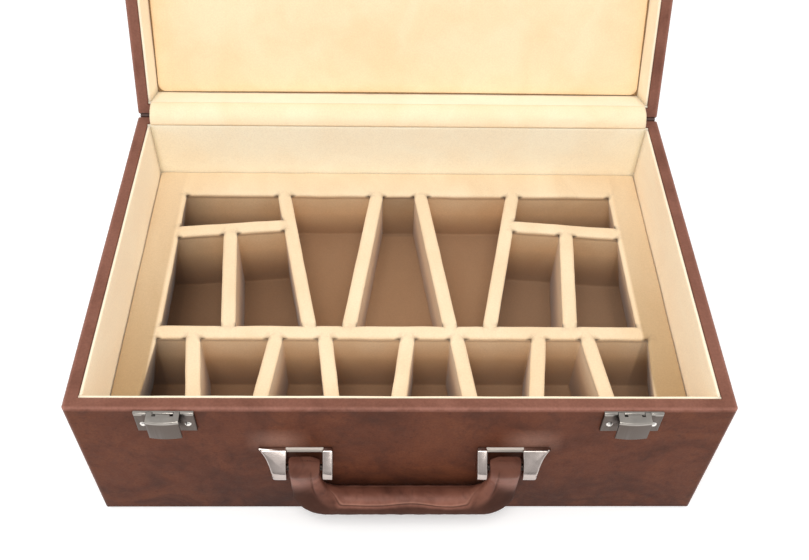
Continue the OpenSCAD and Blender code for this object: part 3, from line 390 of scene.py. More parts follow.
def leatherette(name, low_z, high_z, on_lid=False):
    """The covering between two heights of the shut case. The lid's rim is at its low end and
    the base's at its high end."""
    skin = Finish(name, Specular_IOR_Level=0.08)
    at = skin.place
    if on_lid:
        y, z = HINGE_Y * MM, PARTING_Z * MM
        at = skin.placed(rotation=(OPEN, 0, 0), location=(
            0, y - (y * math.cos(OPEN) - z * math.sin(OPEN)),
            z - (y * math.sin(OPEN) + z * math.cos(OPEN))))
    clouds = skin.noise(52, detail=5, rough=0.6, twist=0.9, at=at)
    smoke = skin.noise(30, detail=7, rough=0.62, twist=1.8, at=at)
    speckle = skin.noise(1.6, detail=2, at=at)
    z = skin.xyz(at)[2]
    brown = skin.ramp(clouds, (0.30, (76, 42, 29)), (0.47, (92, 51, 35)), (0.62, (101, 57, 38)),
                      (0.78, (84, 47, 32)))
    brown = skin.overlaid(brown, skin.span(smoke, 0.52, 0.72, 0, 0.5), (62, 38, 30))
    spots = skin.noise(4.5, detail=5, rough=0.65, at=at)
    brown = skin.overlaid(brown, skin.span(spots, 0.56, 0.74, 0, 0.45), (58, 34, 26))
    rim_z, up = (low_z, -1) if on_lid else (high_z, 1)
    # Painted highlight: the flat rim is lighter, as if lit from above.
    rim = skin.times(skin.between(z, rim_z - 0.9 * up, rim_z - 0.3 * up),
                     skin.span(clouds, 0.3, 0.6, 0.5, 0.9))
    brown = skin.overlaid(brown, rim, (136, 92, 78))
    edge = near_edge(skin, at, low_z, high_z)
    if not on_lid:
        brown = base_stains_and_light(skin, brown, smoke)
        edge = skin.times(edge, skin.between(z, 4, 30))
    worn = skin.times(edge, skin.span(skin.noise(9, detail=4, at=at), 0.3, 0.6, 0.45, 1.0))
    brown = skin.overlaid(brown, skin.times(worn, 0.75), (172, 122, 108))
    if not on_lid:
        brown = skin.overlaid(brown, skin.between(z, 1.8, 0.8, 0, 0.75), (40, 24, 20))
    brown = skin.speckled(brown, speckle, 0.9, 1.08)
    grain = skin.sums("MULTIPLY_ADD", skin.pebbles(1.0, at=at), 0.7,
                      skin.times(skin.noise(0.5, detail=2, at=at), 0.5))
    rough = skin.sums("MULTIPLY_ADD", skin.noise(6, detail=3, at=at), 0.22,
                      skin.span(worn, 0, 1, 0.40, 0.32))
    return skin.finish(brown, rough, grain, depth=0.07)


base_skin = leatherette("leatherette_base", *BASE_Z)
lid_skin = leatherette("leatherette_lid", *LID_Z, on_lid=True)
print("finishes:", base_skin.name, lid_skin.name)

# %% [markdown]
# The handle is covered in the same brown, but thinner, smoother and more handled. The piece
# carries four marks for it, worked out with its shape. seam is the dark groove where two
# edges of the cover meet, and lip the light raw edge beside it. worn is where hands have
# rubbed it, and also carries painted highlights on the front and across each loop. The
# fourth mark is painted shade on what turns away from the light, which is also made duller.

# %% Handle cover
cover = Finish("handle_cover", Specular_IOR_Level=0.08)
seam, lip, worn, under = (cover.mark(name) for name in ("seam", "lip", "worn", "under"))
brown = cover.ramp(cover.noise(26, detail=5, twist=1.2),
                   (0.3, (84, 51, 41)), (0.5, (110, 69, 56)), (0.72, (124, 81, 66)))
smudge = cover.span(cover.noise(12, detail=6, twist=1.5), 0.56, 0.72, 0, 0.5)
brown = cover.overlaid(brown, smudge, (72, 46, 39))
# Rubbed lighter, with painted highlights on the front and across the middle of each loop.
rubbed = cover.times(worn, cover.span(cover.noise(5, detail=4), 0.3, 0.65, 0.4, 1.0))
brown = cover.overlaid(brown, cover.times(rubbed, 0.55), (168, 116, 100))
# Painted shade where the cover turns away from the light.
brown = cover.overlaid(brown, cover.times(under, 0.82), (48, 28, 21))
brown = cover.overlaid(brown, cover.times(seam, 0.8), (44, 26, 20))
brown = cover.overlaid(brown, cover.times(lip, 0.34), (186, 138, 118))
grain = cover.sums("MULTIPLY_ADD", cover.pebbles(0.8), 0.5,
                   cover.times(cover.noise(3, detail=4), 1.2))
cover_skin = cover.finish(brown, cover.span(under, 0, 1, 0.36, 0.75), grain, depth=0.06)

# %% [markdown]
# ## Suede cloth
#
# The lining is a thin cloth with a short nap. It has no weave to see, but the nap lies in
# faint clouds, and its fibres give a fine speckle and a soft sheen at grazing angles. Sheen
# is a number of its own on the shader, and the speckle is two sizes of noise in colour and
# relief. Linings, gusset, panel and tray differ in tone; the back linings' paler copy is painted
# light.
#
# The tray's tone also depends on the place, through painted light and shade. The side
# borders get painted shade, darker towards the front. Each well's corners are slit and get
# painted shade there, a thin painted shadow line marks the hem under its rim, and painted
# shade gets darker with depth. The pawn wells' walls and the floors towards the right are
# paler, as painted light; the centre well's back wall and the left end get a browner painted shade.

# %% Suede
TRAY_TOP, HEM_DROP = 74.0, 3.6
# Painted shade: factors that darken the wells with depth.
DEPTH_SHADE = ((0.02, (255, 255, 255)), (0.05, (236, 226, 217)), (0.35, (237, 220, 203)),
               (0.72, (172, 147, 128)), (0.9, (130, 101, 79)))


def tray_light_and_shade(cloth, tone):
    """The tray's painted light and shade by place. The depth ramp multiplies the tone along 60 mm
    of depth as painted shade.
    """
    x, y, z = cloth.xyz()
    aside = cloth.off(x)
    depth = cloth.between(z, TRAY_TOP, TRAY_TOP - 60)
    below_rim = cloth.between(z, TRAY_TOP - 1.5, TRAY_TOP - 3)
    # Painted shade on the side borders, darker towards the front.
    side_border_shade = cloth.times(cloth.between(aside, 167.5, 169.5),
                               cloth.between(y, 125, -80, 0.05, 1.0))
    tone = cloth.overlaid(tone, side_border_shade, (180, 152, 115))
    # Painted shade in the slit corners of each well.
    tone = cloth.overlaid(tone, cloth.times(cloth.mark("fold"), 0.9), (70, 48, 32))
    hem = cloth.between(cloth.off(z, TRAY_TOP - HEM_DROP), 0.2, 0.6, 0.3, 0)
    tone = cloth.overlaid(tone, hem, (96, 68, 48))
    # Painted shade, darker with depth.
    tone = cloth.mixed(1.0, tone, cloth.ramp(depth, *DEPTH_SHADE), "MULTIPLY")
    # Painted light: the pawn wells' walls are paler.
    pawn_wall_light = cloth.times(cloth.between(y, -42.5, -43.2), cloth.between(z, 46, 66, 0, 0.4),
                             below_rim)
    tone = cloth.overlaid(tone, pawn_wall_light, (252, 232, 204))
    # Painted shade on the centre well's back wall.
    centre_back_shade = cloth.times(cloth.between(y, 94, 96), cloth.between(aside, 18.2, 17.6, 0, 0.4),
                              below_rim)
    tone = cloth.overlaid(tone, centre_back_shade, (72, 52, 40))
    # Painted light: the well floors are paler towards the right.
    floor_light = cloth.times(cloth.between(x, -160, 160, 0.28, 0.5), cloth.span(depth, 0.3, 0.9))
    tone = cloth.overlaid(tone, floor_light, (196, 166, 138))
    # Painted shade at the left end of the tray's wells.
    left_end_shade = cloth.times(cloth.between(x, -142, -172, 0, 0.5), below_rim)
    return cloth.overlaid(tone, left_end_shade, (84, 58, 42))


def suede(name, light, dark, painted_light_and_finish=None):
    """Suede between two tones, and painted light and shade that are laid over them."""
    cloth = Finish(name, Sheen_Weight=0.25, Sheen_Roughness=0.45, Specular_IOR_Level=0.15)
    clouds = cloth.noise(34, detail=4, rough=0.55, twist=0.6, at=cloth.placed(scale=(1, 0.5, 1)))
    tone = cloth.ramp(clouds, (0.3, dark), (0.65, light))
    if painted_light_and_finish:
        tone = painted_light_and_finish(cloth, tone)
    fibre = cloth.noise(1.1, detail=4, rough=0.7)
    tone = cloth.speckled(tone, fibre, 0.93, 1.05)
    nap = cloth.sums("MULTIPLY_ADD", cloth.noise(0.45, detail=2), 0.6, cloth.times(fibre, 0.8))
    return cloth.finish(tone, cloth.span(clouds, 0.3, 0.7, 0.98, 0.9), nap, depth=0.09)


lining_cloth = suede("suede_lining", (254, 240, 214), (251, 232, 204))
# A paler copy of the lining cloth for the back linings: painted light.
lit_back_cloth = suede("suede_back_lining_lit", (255, 247, 224), (253, 241, 215))
gusset_cloth = suede("suede_gusset", (252, 232, 198), (248, 224, 186))
panel_cloth = suede("suede_panel", (252, 227, 190), (247, 218, 177))
tray_cloth = suede("suede_tray", (243, 221, 188), (235, 209, 173), tray_light_and_shade)

# %% [markdown]
# ## Metals, boards and lacquer
#
# Metal is mostly what it reflects, so its own pattern is faint: fine polishing lines, drawn
# out along one axis, and a little unevenness in its gloss. The catches are satin nickel, the
# strikes a duller one, the catches' rivets a brighter copy of it as a painted highlight, the
# brackets chrome, the handle's pins blued and the other pins and screws plain steel. Boards
# are pressed fibre, seen only when the box is taken apart, and the hinge is lacquered brown.
#
# Two metals also change with the place. On a catch, all that lies behind the lever gets a dark
# painted shade, its lower faces a darker painted reflection than the flange over the rim, and
# that flange a nearly white painted highlight. On a bracket, the bridge over the strap is
# brushed: it is paler and rougher than the polished wings.

# %% Metals and boards
CATCH_X, CATCH_SHIFT = 138.8, -1.3


def catch_light_and_shade(plate, shade, rough):
    """Painted shade behind the lever, a darker painted reflection on the faces beneath the rim, and
    a white painted highlight on the flange over it.
    """
    x, y, z = plate.xyz()
    aside = plate.off(plate.off(x, CATCH_SHIFT), CATCH_X)
    # Painted shade behind the lever.
    behind_lever_shade = plate.times(plate.between(aside, 13.0, 12.2), plate.between(z, 119.5, 119.0),
                         plate.between(aside, 6.2, 6.6), plate.between(y, -140.5, -139.8), 0.88)
    shade = plate.overlaid(shade, behind_lever_shade, (36, 27, 20))
    # Painted reflection: the faces beneath the rim are darker.
    shade = plate.overlaid(shade, plate.between(z, 118.8, 118.4, 0, 0.94), (87, 77, 71))
    # Painted highlight: the flange over the rim is nearly white.
    return plate.overlaid(shade, plate.between(z, 120.6, 121.0), (236, 232, 226)), rough


def brushed_bridge(plate, shade, rough):
    """Paler, rougher and less of a mirror on the bridge between a bracket's two wings."""
    x, y, z = plate.xyz()
    aside = plate.off(x, HANDLE_SHIFT)
    bridge = plate.times(plate.between(y, -134.85, -134.75), plate.between(z, 75.7, 75.9),
                         plate.between(aside, 50.5, 50.9), plate.between(aside, 74.1, 73.7))
    plate.wire("Metallic", plate.span(bridge, 0, 1, 1, 0.1))
    return (plate.overlaid(shade, bridge, (206, 196, 186)),
            plate.sums("MAXIMUM", rough, plate.times(bridge, 0.6)))


def metal(name, tone, gloss, dull, lines=(1, 14, 14), depth=0.004, painted_light_and_finish=None):
    """Polished metal whose roughness runs from gloss to dull along fine lines."""
    plate = Finish(name, Metallic=1.0, Anisotropic=0.25)
    streaks = plate.noise(2.4, detail=5, rough=0.7, at=plate.placed(scale=lines))
    clouds = plate.noise(7, detail=3)
    shade = plate.ramp(clouds, (0.3, [0.92 * part for part in tone]), (0.7, tone))
    rough = plate.sums("MULTIPLY_ADD", streaks, dull - gloss,
                       plate.span(clouds, 0.3, 0.7, gloss, gloss + 0.05))
    if painted_light_and_finish:
        shade, rough = painted_light_and_finish(plate, shade, rough)
    return plate.finish(shade, rough, streaks, depth)


def board(name, light, dark, flecks=0.9):
    """Pressed fibre: flecks of two sizes between two tones."""
    slab = Finish(name, Specular_IOR_Level=0.2)
    fibre = slab.noise(flecks, detail=5, rough=0.7)
    tone = slab.ramp(fibre, (0.35, dark), (0.65, light))
    tone = slab.overlaid(tone, slab.span(slab.noise(18, detail=3), 0.35, 0.7, 0, 0.25), dark)
    return slab.finish(tone, slab.span(fibre, 0.3, 0.7, 0.75, 0.92), fibre, depth=0.05)


nickel = metal("satin_nickel", (164, 158, 151), 0.22, 0.38, painted_light_and_finish=catch_light_and_shade)
strike_nickel = metal("strike_nickel", (150, 145, 138), 0.22, 0.38)
# A brighter copy of the nickel: painted highlight on the catch rivets.
lit_rivet_nickel = metal("lit_rivet_nickel", (236, 232, 226), 0.1, 0.2)
chrome = metal("bright_chrome", (190, 178, 172), 0.10, 0.22, lines=(1, 5, 5), depth=0.002,
               painted_light_and_finish=brushed_bridge)
steel = metal("plain_steel", (150, 150, 152), 0.3, 0.45, lines=(6, 1, 6))
dark_steel = metal("blued_steel", (62, 54, 50), 0.35, 0.5, lines=(6, 1, 6))
fibre_board = board("fibre_board", (186, 152, 112), (148, 116, 82))
filler = board("handle_filler", (168, 142, 108), (140, 114, 84), flecks=1.6)

lacquer = Finish("hinge_lacquer", Specular_IOR_Level=0.45, Coat_Weight=0.3, Coat_Roughness=0.2)
chipped = lacquer.noise(4, detail=5, rough=0.65)
tone = lacquer.ramp(chipped, (0.4, (64, 42, 34)), (0.6, (82, 54, 44)), (0.74, (120, 92, 72)))
hinge_lacquer = lacquer.finish(tone, lacquer.span(chipped, 0.35, 0.75, 0.3, 0.5),
                               lacquer.noise(0.8), depth=0.01)

# %% [markdown]
# The solids that stay get their finish by their names. A solid may have one material slot or
# none, so its slots are emptied and filled anew; its mesh isn't touched.

# %% Finishes for the solids that stay
def dress(finish, *names):
    """Gives solids a finish of their own."""
    for name in names:
        solids[name].data.materials.clear()
        solids[name].data.materials.append(finish)


dress(base_skin, "base_wrap", "base_underside")
dress(lid_skin, "lid_wrap")
dress(fibre_board, "base_floor_board", "lid_top_board",
      *[f"{part}_{side}_board" for part in ("base", "lid")
        for side in ("front", "back", "left", "right")])
dress(lit_rivet_nickel, "catch_rivets")
dress(strike_nickel, "strike_rivets")
dress(steel, "hinge_pin", "lower_hinge_screws", "upper_hinge_screws", "left_catch_pin",
      "right_catch_pin", "handle_screws")
dress(dark_steel, "handle_pins")
dress(hinge_lacquer, "hinge_lower_leaf", "hinge_upper_leaf")
dress(filler, "handle_core")

# %% [markdown]
# ## Outlines with soft corners
#
# The wells, the tray and the lid's panel all start from an outline with straight sides. Cloth
# can't turn a sharp corner, so each corner becomes a small arc. The same outline is needed at
# several distances from the wall, for the rolled rim, the wall and the floor. Each one is
# worked out from the offset corners, with the same number of samples, so that neighbouring
# outlines can be joined into a grid.

# %% Soft outlines
ARC = 7


def outline(corners, offset, radius, counts):
    """A closed outline round corners that run anticlockwise, moved outward by offset.
    At each corner, the arc's centre lies on both sides' lines moved by offset - radius, and
    the arc turns from one side's normal to the next. Sides get counts[k] samples."""
    corners = np.asarray(corners, float)
    sides = np.roll(corners, -1, 0) - corners
    sides /= np.linalg.norm(sides, axis=1)[:, None]
    normals = np.column_stack([sides[:, 1], -sides[:, 0]])
    before = np.roll(normals, 1, 0)
    lean = 1 + (before * normals).sum(1)
    centres = corners + (offset - radius) * (before + normals) / lean[:, None]
    rings = []
    for k in range(len(corners)):
        start = math.atan2(before[k, 1], before[k, 0])
        turn = math.acos(np.clip(before[k] @ normals[k], -1, 1))
        angles = start + turn * np.linspace(0, 1, ARC)
        rings.append(centres[k] + radius * np.column_stack([np.cos(angles), np.sin(angles)]))
        following = (k + 1) % len(corners)
        a, b = centres[k] + radius * normals[k], centres[following] + radius * normals[k]
        share = np.linspace(0, 1, counts[k] + 2)[1:-1, None]
        rings.append(a + (b - a) * share)
    return np.concatenate(rings)


def side_counts(corners, step):
    """How many samples each side gets for about one every step millimetres."""
    lengths = np.linalg.norm(np.roll(corners, -1, 0) - corners, axis=1)
    return np.maximum((lengths / step).astype(int), 3)


def corner_nearness(counts, reach=0.55):
    """For each sample of an outline, 1 in the middle of a corner's arc, falling to 0 where
    the share of half the arc that reach gives is used up. Straight sides get 0."""
    peak = np.clip(1 - np.abs(np.linspace(-1, 1, ARC)) / reach, 0, 1)
    return np.concatenate([np.concatenate([peak, np.zeros(n)]) for n in counts])


def rectangle(width, depth):
    """Corners of a centred rectangle, anticlockwise from the back left."""
    return np.array([[-1, 1], [-1, -1], [1, -1], [1, 1]]) * [width / 2, depth / 2]


# %% [markdown]
# ## The wells of the tray
#
# There are seventeen wells. The king, queen and bishop wells fan out behind the cross rail,
# and eight pawn wells in front of it lean left and right in turn. Each well is bounded by
# four lines, and its corners are where neighbouring lines cross. The left side is written
# down and mirrored, except for the pawn wells, which aren't symmetric.

# %% Well corners
Y_BACK, Y_RAIL_BACK, Y_RAIL_FRONT, Y_FRONT = 96.8, -32.6, -43.4, -105.4
EDGE_X, WALL_T = 165.5, 10.2
RAIL_T = Y_RAIL_BACK - Y_RAIL_FRONT
ROW_END_X, ROW_END_LEAN = 169, 2.46
PAWN_X0, PAWN_WIDE, PAWN_NARROW, PAWN_LEAN = -137.8, 48.4, 42.2, 4.1


def crossing(a, b):
    """Where two lines cross, each given by two points."""
    (p, q), (r, s) = np.asarray(a, float), np.asarray(b, float)
    d, e = q - p, s - r
    return p + d * ((r - p)[0] * e[1] - (r - p)[1] * e[0]) / (d[0] * e[1] - d[1] * e[0])


def well(back, right_side, front, left):
    """Corners, anticlockwise: back left, front left, front right, back right."""
    return np.array([crossing(left, back), crossing(left, front), crossing(right_side, front),
                     crossing(right_side, back)])


def mirrored(corners):
    """The well on the other side of the middle, again anticlockwise from its back left."""
    return corners[[3, 2, 1, 0]] * [-1, 1]


def level(y):
    """A line along X."""
    return [[-1, y], [1, y]]


def face(x_back, y_back, x_front, y_front, side):
    """The line of a partition's left (-1) or right (1) face."""
    return [[x_back + side * WALL_T / 2, y_back], [x_front + side * WALL_T / 2, y_front]]


def both_faces(*ends):
    """A partition's two faces by side."""
    return {side: face(*ends, side) for side in (-1, 1)}


def pawn_face(i, side):
    """A face of pawn partition i. Even ones lean one way, odd ones the other."""
    middle = PAWN_X0 + (i + 1) // 2 * PAWN_WIDE + i // 2 * PAWN_NARROW
    lean = PAWN_LEAN if i % 2 == 0 else -PAWN_LEAN
    return face(middle - lean, Y_RAIL_FRONT, middle + lean, Y_FRONT, side)


edge = [[-EDGE_X, 1], [-EDGE_X, -1]]
side_rail_back = np.array([[-EDGE_X, 62.6], [-89.3, 70.0]])
side_rail_front = side_rail_back - [0, RAIL_T]
outer = both_faces(-89.3, Y_BACK, -62.9, Y_RAIL_BACK)
inner = both_faces(-17.2, Y_BACK, -35.2, Y_RAIL_BACK)
side_wall = both_faces(-127.0, 55.5, -119.0, Y_RAIL_BACK)

left_wells = [well(level(Y_BACK), outer[-1], side_rail_back, edge),
              well(side_rail_front, side_wall[-1], level(Y_RAIL_BACK), edge),
              well(side_rail_front, outer[-1], level(Y_RAIL_BACK), side_wall[1])]
long_well = well(level(Y_BACK), inner[-1], level(Y_RAIL_BACK), outer[1])
centre = well(level(Y_BACK), np.array(inner[1]) * [-1, 1], level(Y_RAIL_BACK), inner[1])

row_ends = {side: [[side * ROW_END_X + ROW_END_LEAN, Y_RAIL_FRONT],
                   [side * ROW_END_X - ROW_END_LEAN, Y_FRONT]] for side in (-1, 1)}
pawn_wells = [well(level(Y_RAIL_FRONT), row_ends[1] if j == 7 else pawn_face(j, -1),
                   level(Y_FRONT), row_ends[-1] if j == 0 else pawn_face(j - 1, 1))
              for j in range(8)]

DEEP, SHALLOW = 16.0, 29.0
wells = [(corners, DEEP) for corners in left_wells + [mirrored(c) for c in left_wells] + pawn_wells]
wells += [(corners, SHALLOW) for corners in (long_well, mirrored(long_well), centre)]
print("wells:", len(wells))

# %% [markdown]
# ## The cloth over the tray
#
# The real tray is a frame of thin boards with one cloth drawn over it and tucked into every
# well, so it looks like a single soft body. Building it as one closed surface shows that best.
# Each well is a grid: its section runs over the rolled rim, down the wall and into the floor,
# and is carried round the outline. At each corner the cloth is slit and leaves a small fold
# with painted shade in it, and the walls next to the side borders lean outward under them.

# %% Sections of wells and skirt
TRAY_W, TRAY_D, TRAY_FOOT = 378.0, 244.0, 7.0
ROLL_W, ROLL_H = 2.6, 1.7
WALL_BACK, WALL_R, FLOOR_R = 0.35, 1.3, 1.6
STEP = 3.0
OUTER_X, OUTER_LEAN, LEAN_H = 162, 12.0, 55


def roll_section(width, height):
    """A quarter of an ellipse, from the flat top to the upright wall: distance outside the
    wall and height below the top."""
    a = np.radians(np.linspace(0, 90, 8))
    return np.column_stack([width * (1 - np.sin(a)), -height * (1 - np.cos(a))])


def well_section(floor):
    """Distance outside the wall, height, corner radius and depth of the corner's fold, over
    the rolled rim, its hem, the upright wall and the rounded foot."""
    rim = roll_section(ROLL_W, ROLL_H) + [0, TRAY_TOP]
    slit = np.linspace(0, 1, len(rim)) ** 0.7 * 1.3
    rim = np.column_stack([rim, np.linspace(2.2, WALL_R, len(rim)), slit])
    hem = [[0.0, TRAY_TOP - HEM_DROP, WALL_R, 0.8],
           [WALL_BACK, TRAY_TOP - HEM_DROP - 0.5, WALL_R, 0.3]]
    side = np.column_stack([np.full(8, WALL_BACK), np.linspace(TRAY_TOP - 6, floor + FLOOR_R, 8),
                            np.full(8, WALL_R), np.zeros(8)])
    b = np.radians(np.linspace(15, 90, 5))
    foot = np.column_stack([WALL_BACK - FLOOR_R * (1 - np.cos(b)),
                            floor + FLOOR_R * (1 - np.sin(b)),
                            WALL_R - 0.9 * (1 - np.cos(b)), np.zeros(5)])
    return np.concatenate([rim, hem, side, foot])


def top_wave(x, y):
    """How far the top's cloth waves up and down."""
    return 0.16 * ripple(x, y, 42, 3) + 0.07 * ripple(x, y, 13, 4)


def ring_points(corners, distance, z, radius, fold, counts):
    """One outline of a well: the top's wave fades with depth, the wall sways a little, the
    corner's fold pulls its middle outward and down, and the outermost walls lean outward in
    proportion to the depth."""
    pleat = corner_nearness(counts) * fold
    ring = outline(corners, distance, radius, counts)
    away = ring - corners.mean(0)
    away /= np.linalg.norm(away, axis=1)[:, None]
    sway = 0.18 * ripple(ring[:, 0], ring[:, 1], 30, 5) * min((TRAY_TOP - z) / 2.4, 1)
    ring = ring + away * (0.8 * pleat + sway)[:, None]
    x, y = ring.T
    z = z + bell(z, TRAY_TOP, 9) * top_wave(x, y) - 0.9 * pleat
    lean = OUTER_LEAN * np.clip((TRAY_TOP - 3 - z) / LEAN_H, 0, 1) * (np.abs(x) > OUTER_X)
    return np.column_stack([x + np.sign(x) * lean, y, z])


# %% [markdown]
# Seventeen wells and a skirt round the outside are collected as patches of one mesh, each
# numbered after those before it. The skirt starts with a smaller roll that turns the other
# way and runs down to the floor.

# %% Wells and skirt
patches, folds, faces = [], [], []


def add_patch(points, patch_faces, fold=None):
    """Adds a surface to the tray's. fold marks the slit corners, from 0 to 1."""
    start = sum(len(patch) for patch in patches)
    patches.append(points)
    folds.append(np.zeros(len(points)) if fold is None else fold)
    faces.extend([[index + start for index in corner_list] for corner_list in patch_faces])


rims = []
for corners, floor in wells:
    counts = side_counts(corners, STEP)
    rows = well_section(floor)
    rings = [ring_points(corners, *row, counts) for row in rows]
    rims.append(rings[0])
    near_hem = bell(rows[:, 1], TRAY_TOP - 1.9, 1.3)
    add_patch(np.concatenate(rings), cup_faces(len(rings), len(rings[0])),
              (near_hem[:, None] * (corner_nearness(counts, 1.3) > 0)).ravel())

tray_corners = rectangle(TRAY_W, TRAY_D)
counts = side_counts(tray_corners, STEP)
skirt = roll_section(-1.5, 1.5) + [0, TRAY_TOP]
skirt = np.concatenate([skirt, [[0, z] for z in np.linspace(TRAY_TOP - 6, TRAY_FOOT, 7)]])
rings = []
for distance, z in skirt:
    ring = outline(tray_corners, distance, 2.0, counts)
    rings.append(np.column_stack([ring, z + bell(z, TRAY_TOP, 3) * top_wave(*ring.T)]))
add_patch(np.concatenate(rings), cup_faces(len(rings), len(rings[0])))


# %% [markdown]
# The flat top between the wells is filled with triangles. Their border points are those of
# the rims, so that the patches merge, and points inside it let the top wave a little, as
# drawn cloth does. Triangles that would cover a well are left out.

# %% Top between the wells
def inside(points, ring, margin=0.0):
    """Which points lie inside a convex outline that runs anticlockwise, by more than margin."""
    way = np.roll(ring, -1, 0) - ring
    way /= np.maximum(np.linalg.norm(way, axis=1), 1e-9)[:, None]
    gap = points[:, None] - ring[None]
    return (way[None, :, 0] * gap[..., 1] - way[None, :, 1] * gap[..., 0]).min(1) > margin


grid_x, grid_y = np.meshgrid(np.arange(-185, 186, 4.0), np.arange(-118, 119, 4.0))
spots = np.column_stack([grid_x.ravel(), grid_y.ravel()])
for rim in rims:
    spots = spots[~inside(spots, rim[:, :2], -1.2)]
borders = [ring[:, :2] for ring in [rings[0]] + rims]
edges, start = [], 0
for border in borders:
    index = np.arange(len(border)) + start
    edges += np.column_stack([index, np.roll(index, -1)]).tolist()
    start += len(border)
filled = delaunay_2d_cdt(np.concatenate(borders + [spots]).tolist(), edges, [], 1, 1e-7)
top = np.array([tuple(p) for p in filled[0]])
triangles = np.array([list(f) for f in filled[2] if len(f) == 3])
middles = top[triangles].mean(1)
keep = inside(middles, borders[0])
for border in borders[1:]:
    keep &= ~inside(middles, border)
add_patch(np.column_stack([top, TRAY_TOP + top_wave(*top.T)]), triangles[keep].tolist())

tray = piece("tray_cover", np.concatenate(patches), faces, tray_cloth,
             marks={"fold": np.concatenate(folds)}, merge=0.02)
settle(tray, "case_base", "tray_cloth", "tray_floor_pad", "centre_slot_pads", "tray_front_border",
       "tray_back_border", "tray_left_border", "tray_right_border", "tray_cross_rail",
       "tray_side_rails", "tray_long_partitions", "tray_side_partitions", "tray_pawn_partitions")

# %% [markdown]
# ## Lining boards
#
# Card boards wrapped in the same suede are glued inside the four walls of base and lid. Each
# has a soft rounded edge along the rim, and the cloth on it isn't quite flat. A bevelled box
# would be too stiff, so its section, round at the rim end, is carried along the wall, and the
# face towards the room gets a gentle wave.

# %% Lining boards
LINING_T = 2.0
MOUTH = {"x": 191.4, "y": 124.4}
LINING_ROWS = 12


def lining(name, axis, side, half, fixed_z, rim_z, seed, finish, on_lid=False):
    """A board along X (axis "y": it stands at a Y wall) or along Y (axis "x"). Its section
    runs up the wall side, over the half-round rim edge and down the face to the room."""
    radius = LINING_T / 2
    way = 1 if rim_z > fixed_z else -1
    a = np.radians(np.linspace(180, 0, 9))
    heights = np.linspace(fixed_z, rim_z - way * (radius + 2), LINING_ROWS)
    t = np.concatenate([np.zeros(LINING_ROWS), radius + radius * np.cos(a),
                        np.full(LINING_ROWS, LINING_T)])
    z = np.concatenate([heights, rim_z - way * radius * (1 - np.sin(a)), heights[::-1]])
    s, t = np.meshgrid(np.linspace(-half, half, int(half / 3)), t, indexing="ij")
    z = np.broadcast_to(z, s.shape)
    waves = 0.1 * ripple(s, z, 60, seed) + 0.06 * ripple(s, z, 16, seed + 1) - 0.08
    t = t + ease((t - radius) / radius) * ease((half - np.abs(s)) / 6) * waves
    sag = 0.22 * (1 + ripple(s, 0 * s, 55, seed + 2)) / 2
    z = z - way * sag * ease(1 - np.abs(rim_z - z) / 6)
    out = side * (MOUTH[axis] - t)
    points = np.stack([out, s, z] if axis == "x" else [s, out, z], -1).reshape(-1, 3)
    return piece(name, opened(points) if on_lid else points, tube_faces(*s.shape), finish)


for k, (word, axis, side, half) in enumerate([("front", "y", -1, 191.4), ("back", "y", 1, 191.4),
                                              ("left", "x", -1, 122.4), ("right", "x", 1, 122.4)]):
    # The back linings take the paler copy, as painted light.
    finish = lit_back_cloth if word == "back" else lining_cloth
    settle(lining(f"base_{word}_lining_cloth", axis, side, half, 7.0, 121.2, 20 + 5 * k, finish),
           "case_base", "lining_cloth", f"base_{word}_lining")
    settle(lining(f"lid_{word}_lining_cloth", axis, side, half, 150.2, 122.8, 60 + 5 * k, finish,
                  on_lid=True), "lid", "lining_cloth", f"lid_{word}_lining")

# %% [markdown]
# ## The padded panel in the lid
#
# A board wrapped over a thin layer of foam closes the inside of the lid. Its cloth is drawn
# tight round the edge, which swells quickly and then rises slowly to a low crown. A cloth
# simulation could puff it, but a crown this low is quicker and more even as a formula: rings
# at growing distances from the edge, each lifted by the swell and the crown. Small puckers
# run inward from the edge, and the sides draw in a little between the corners.

# %% Panel
PANEL_W, PANEL_D, PANEL_R = 377.6, 243.6, 6.0
PANEL_BACK, EDGE_T, CROWN_T, SWELL_W = 150.2, 1.0, 4.0, 8.0
INSETS = np.array([0, 0, 0.12, 0.35, 0.75, 1.3, 2.1, 3.1, 4.3, 5.7, 7.3, 9, 12, 16, 21, 28, 37, 48,
                   61, 76, 93, 110])


def drawn_in(along, across, length, width, inset):
    """across, with its sides pulled in between the corners: most in the middle of a side,
    as a parabola, and less for rings further in."""
    pull = 0.7 * math.exp(-inset / 25) * (1 - (along / (length / 2)) ** 2)
    return across - np.sign(across) * pull * (np.abs(across) > width / 2 - inset - 3)


panel_corners = rectangle(PANEL_W, PANEL_D)
counts = side_counts(panel_corners, 3.5)
swell = np.sqrt(1 - (1 - np.minimum(INSETS / SWELL_W, 1)) ** 2)
crown = 1 - (1 - INSETS / (PANEL_D / 2)) ** 2
lift = EDGE_T + (CROWN_T - EDGE_T) * (0.55 * swell + 0.45 * crown)
lift[0] = 0
rings = []
for inset, height in zip(INSETS, lift):
    x, y = outline(panel_corners, -inset, max(PANEL_R - inset, 0.6), counts).T
    pucker = (0.16 * ripple(x, y, 11, 91) * bell(inset, 3, 5)
              + 0.22 * ripple(x, y, 70, 92) * min(inset / 20, 1))
    rings.append(np.column_stack([
        drawn_in(y, x, PANEL_D, PANEL_W, inset), drawn_in(x, y, PANEL_W, PANEL_D, inset),
        PANEL_BACK - np.maximum(height + pucker * (height > 0), 0)]))
panel = piece("lid_panel_pad", opened(np.concatenate(rings)), tube_faces(len(rings), len(rings[0])),
              panel_cloth)
settle(panel, "lid", "panel_cloth", "lid_panel")

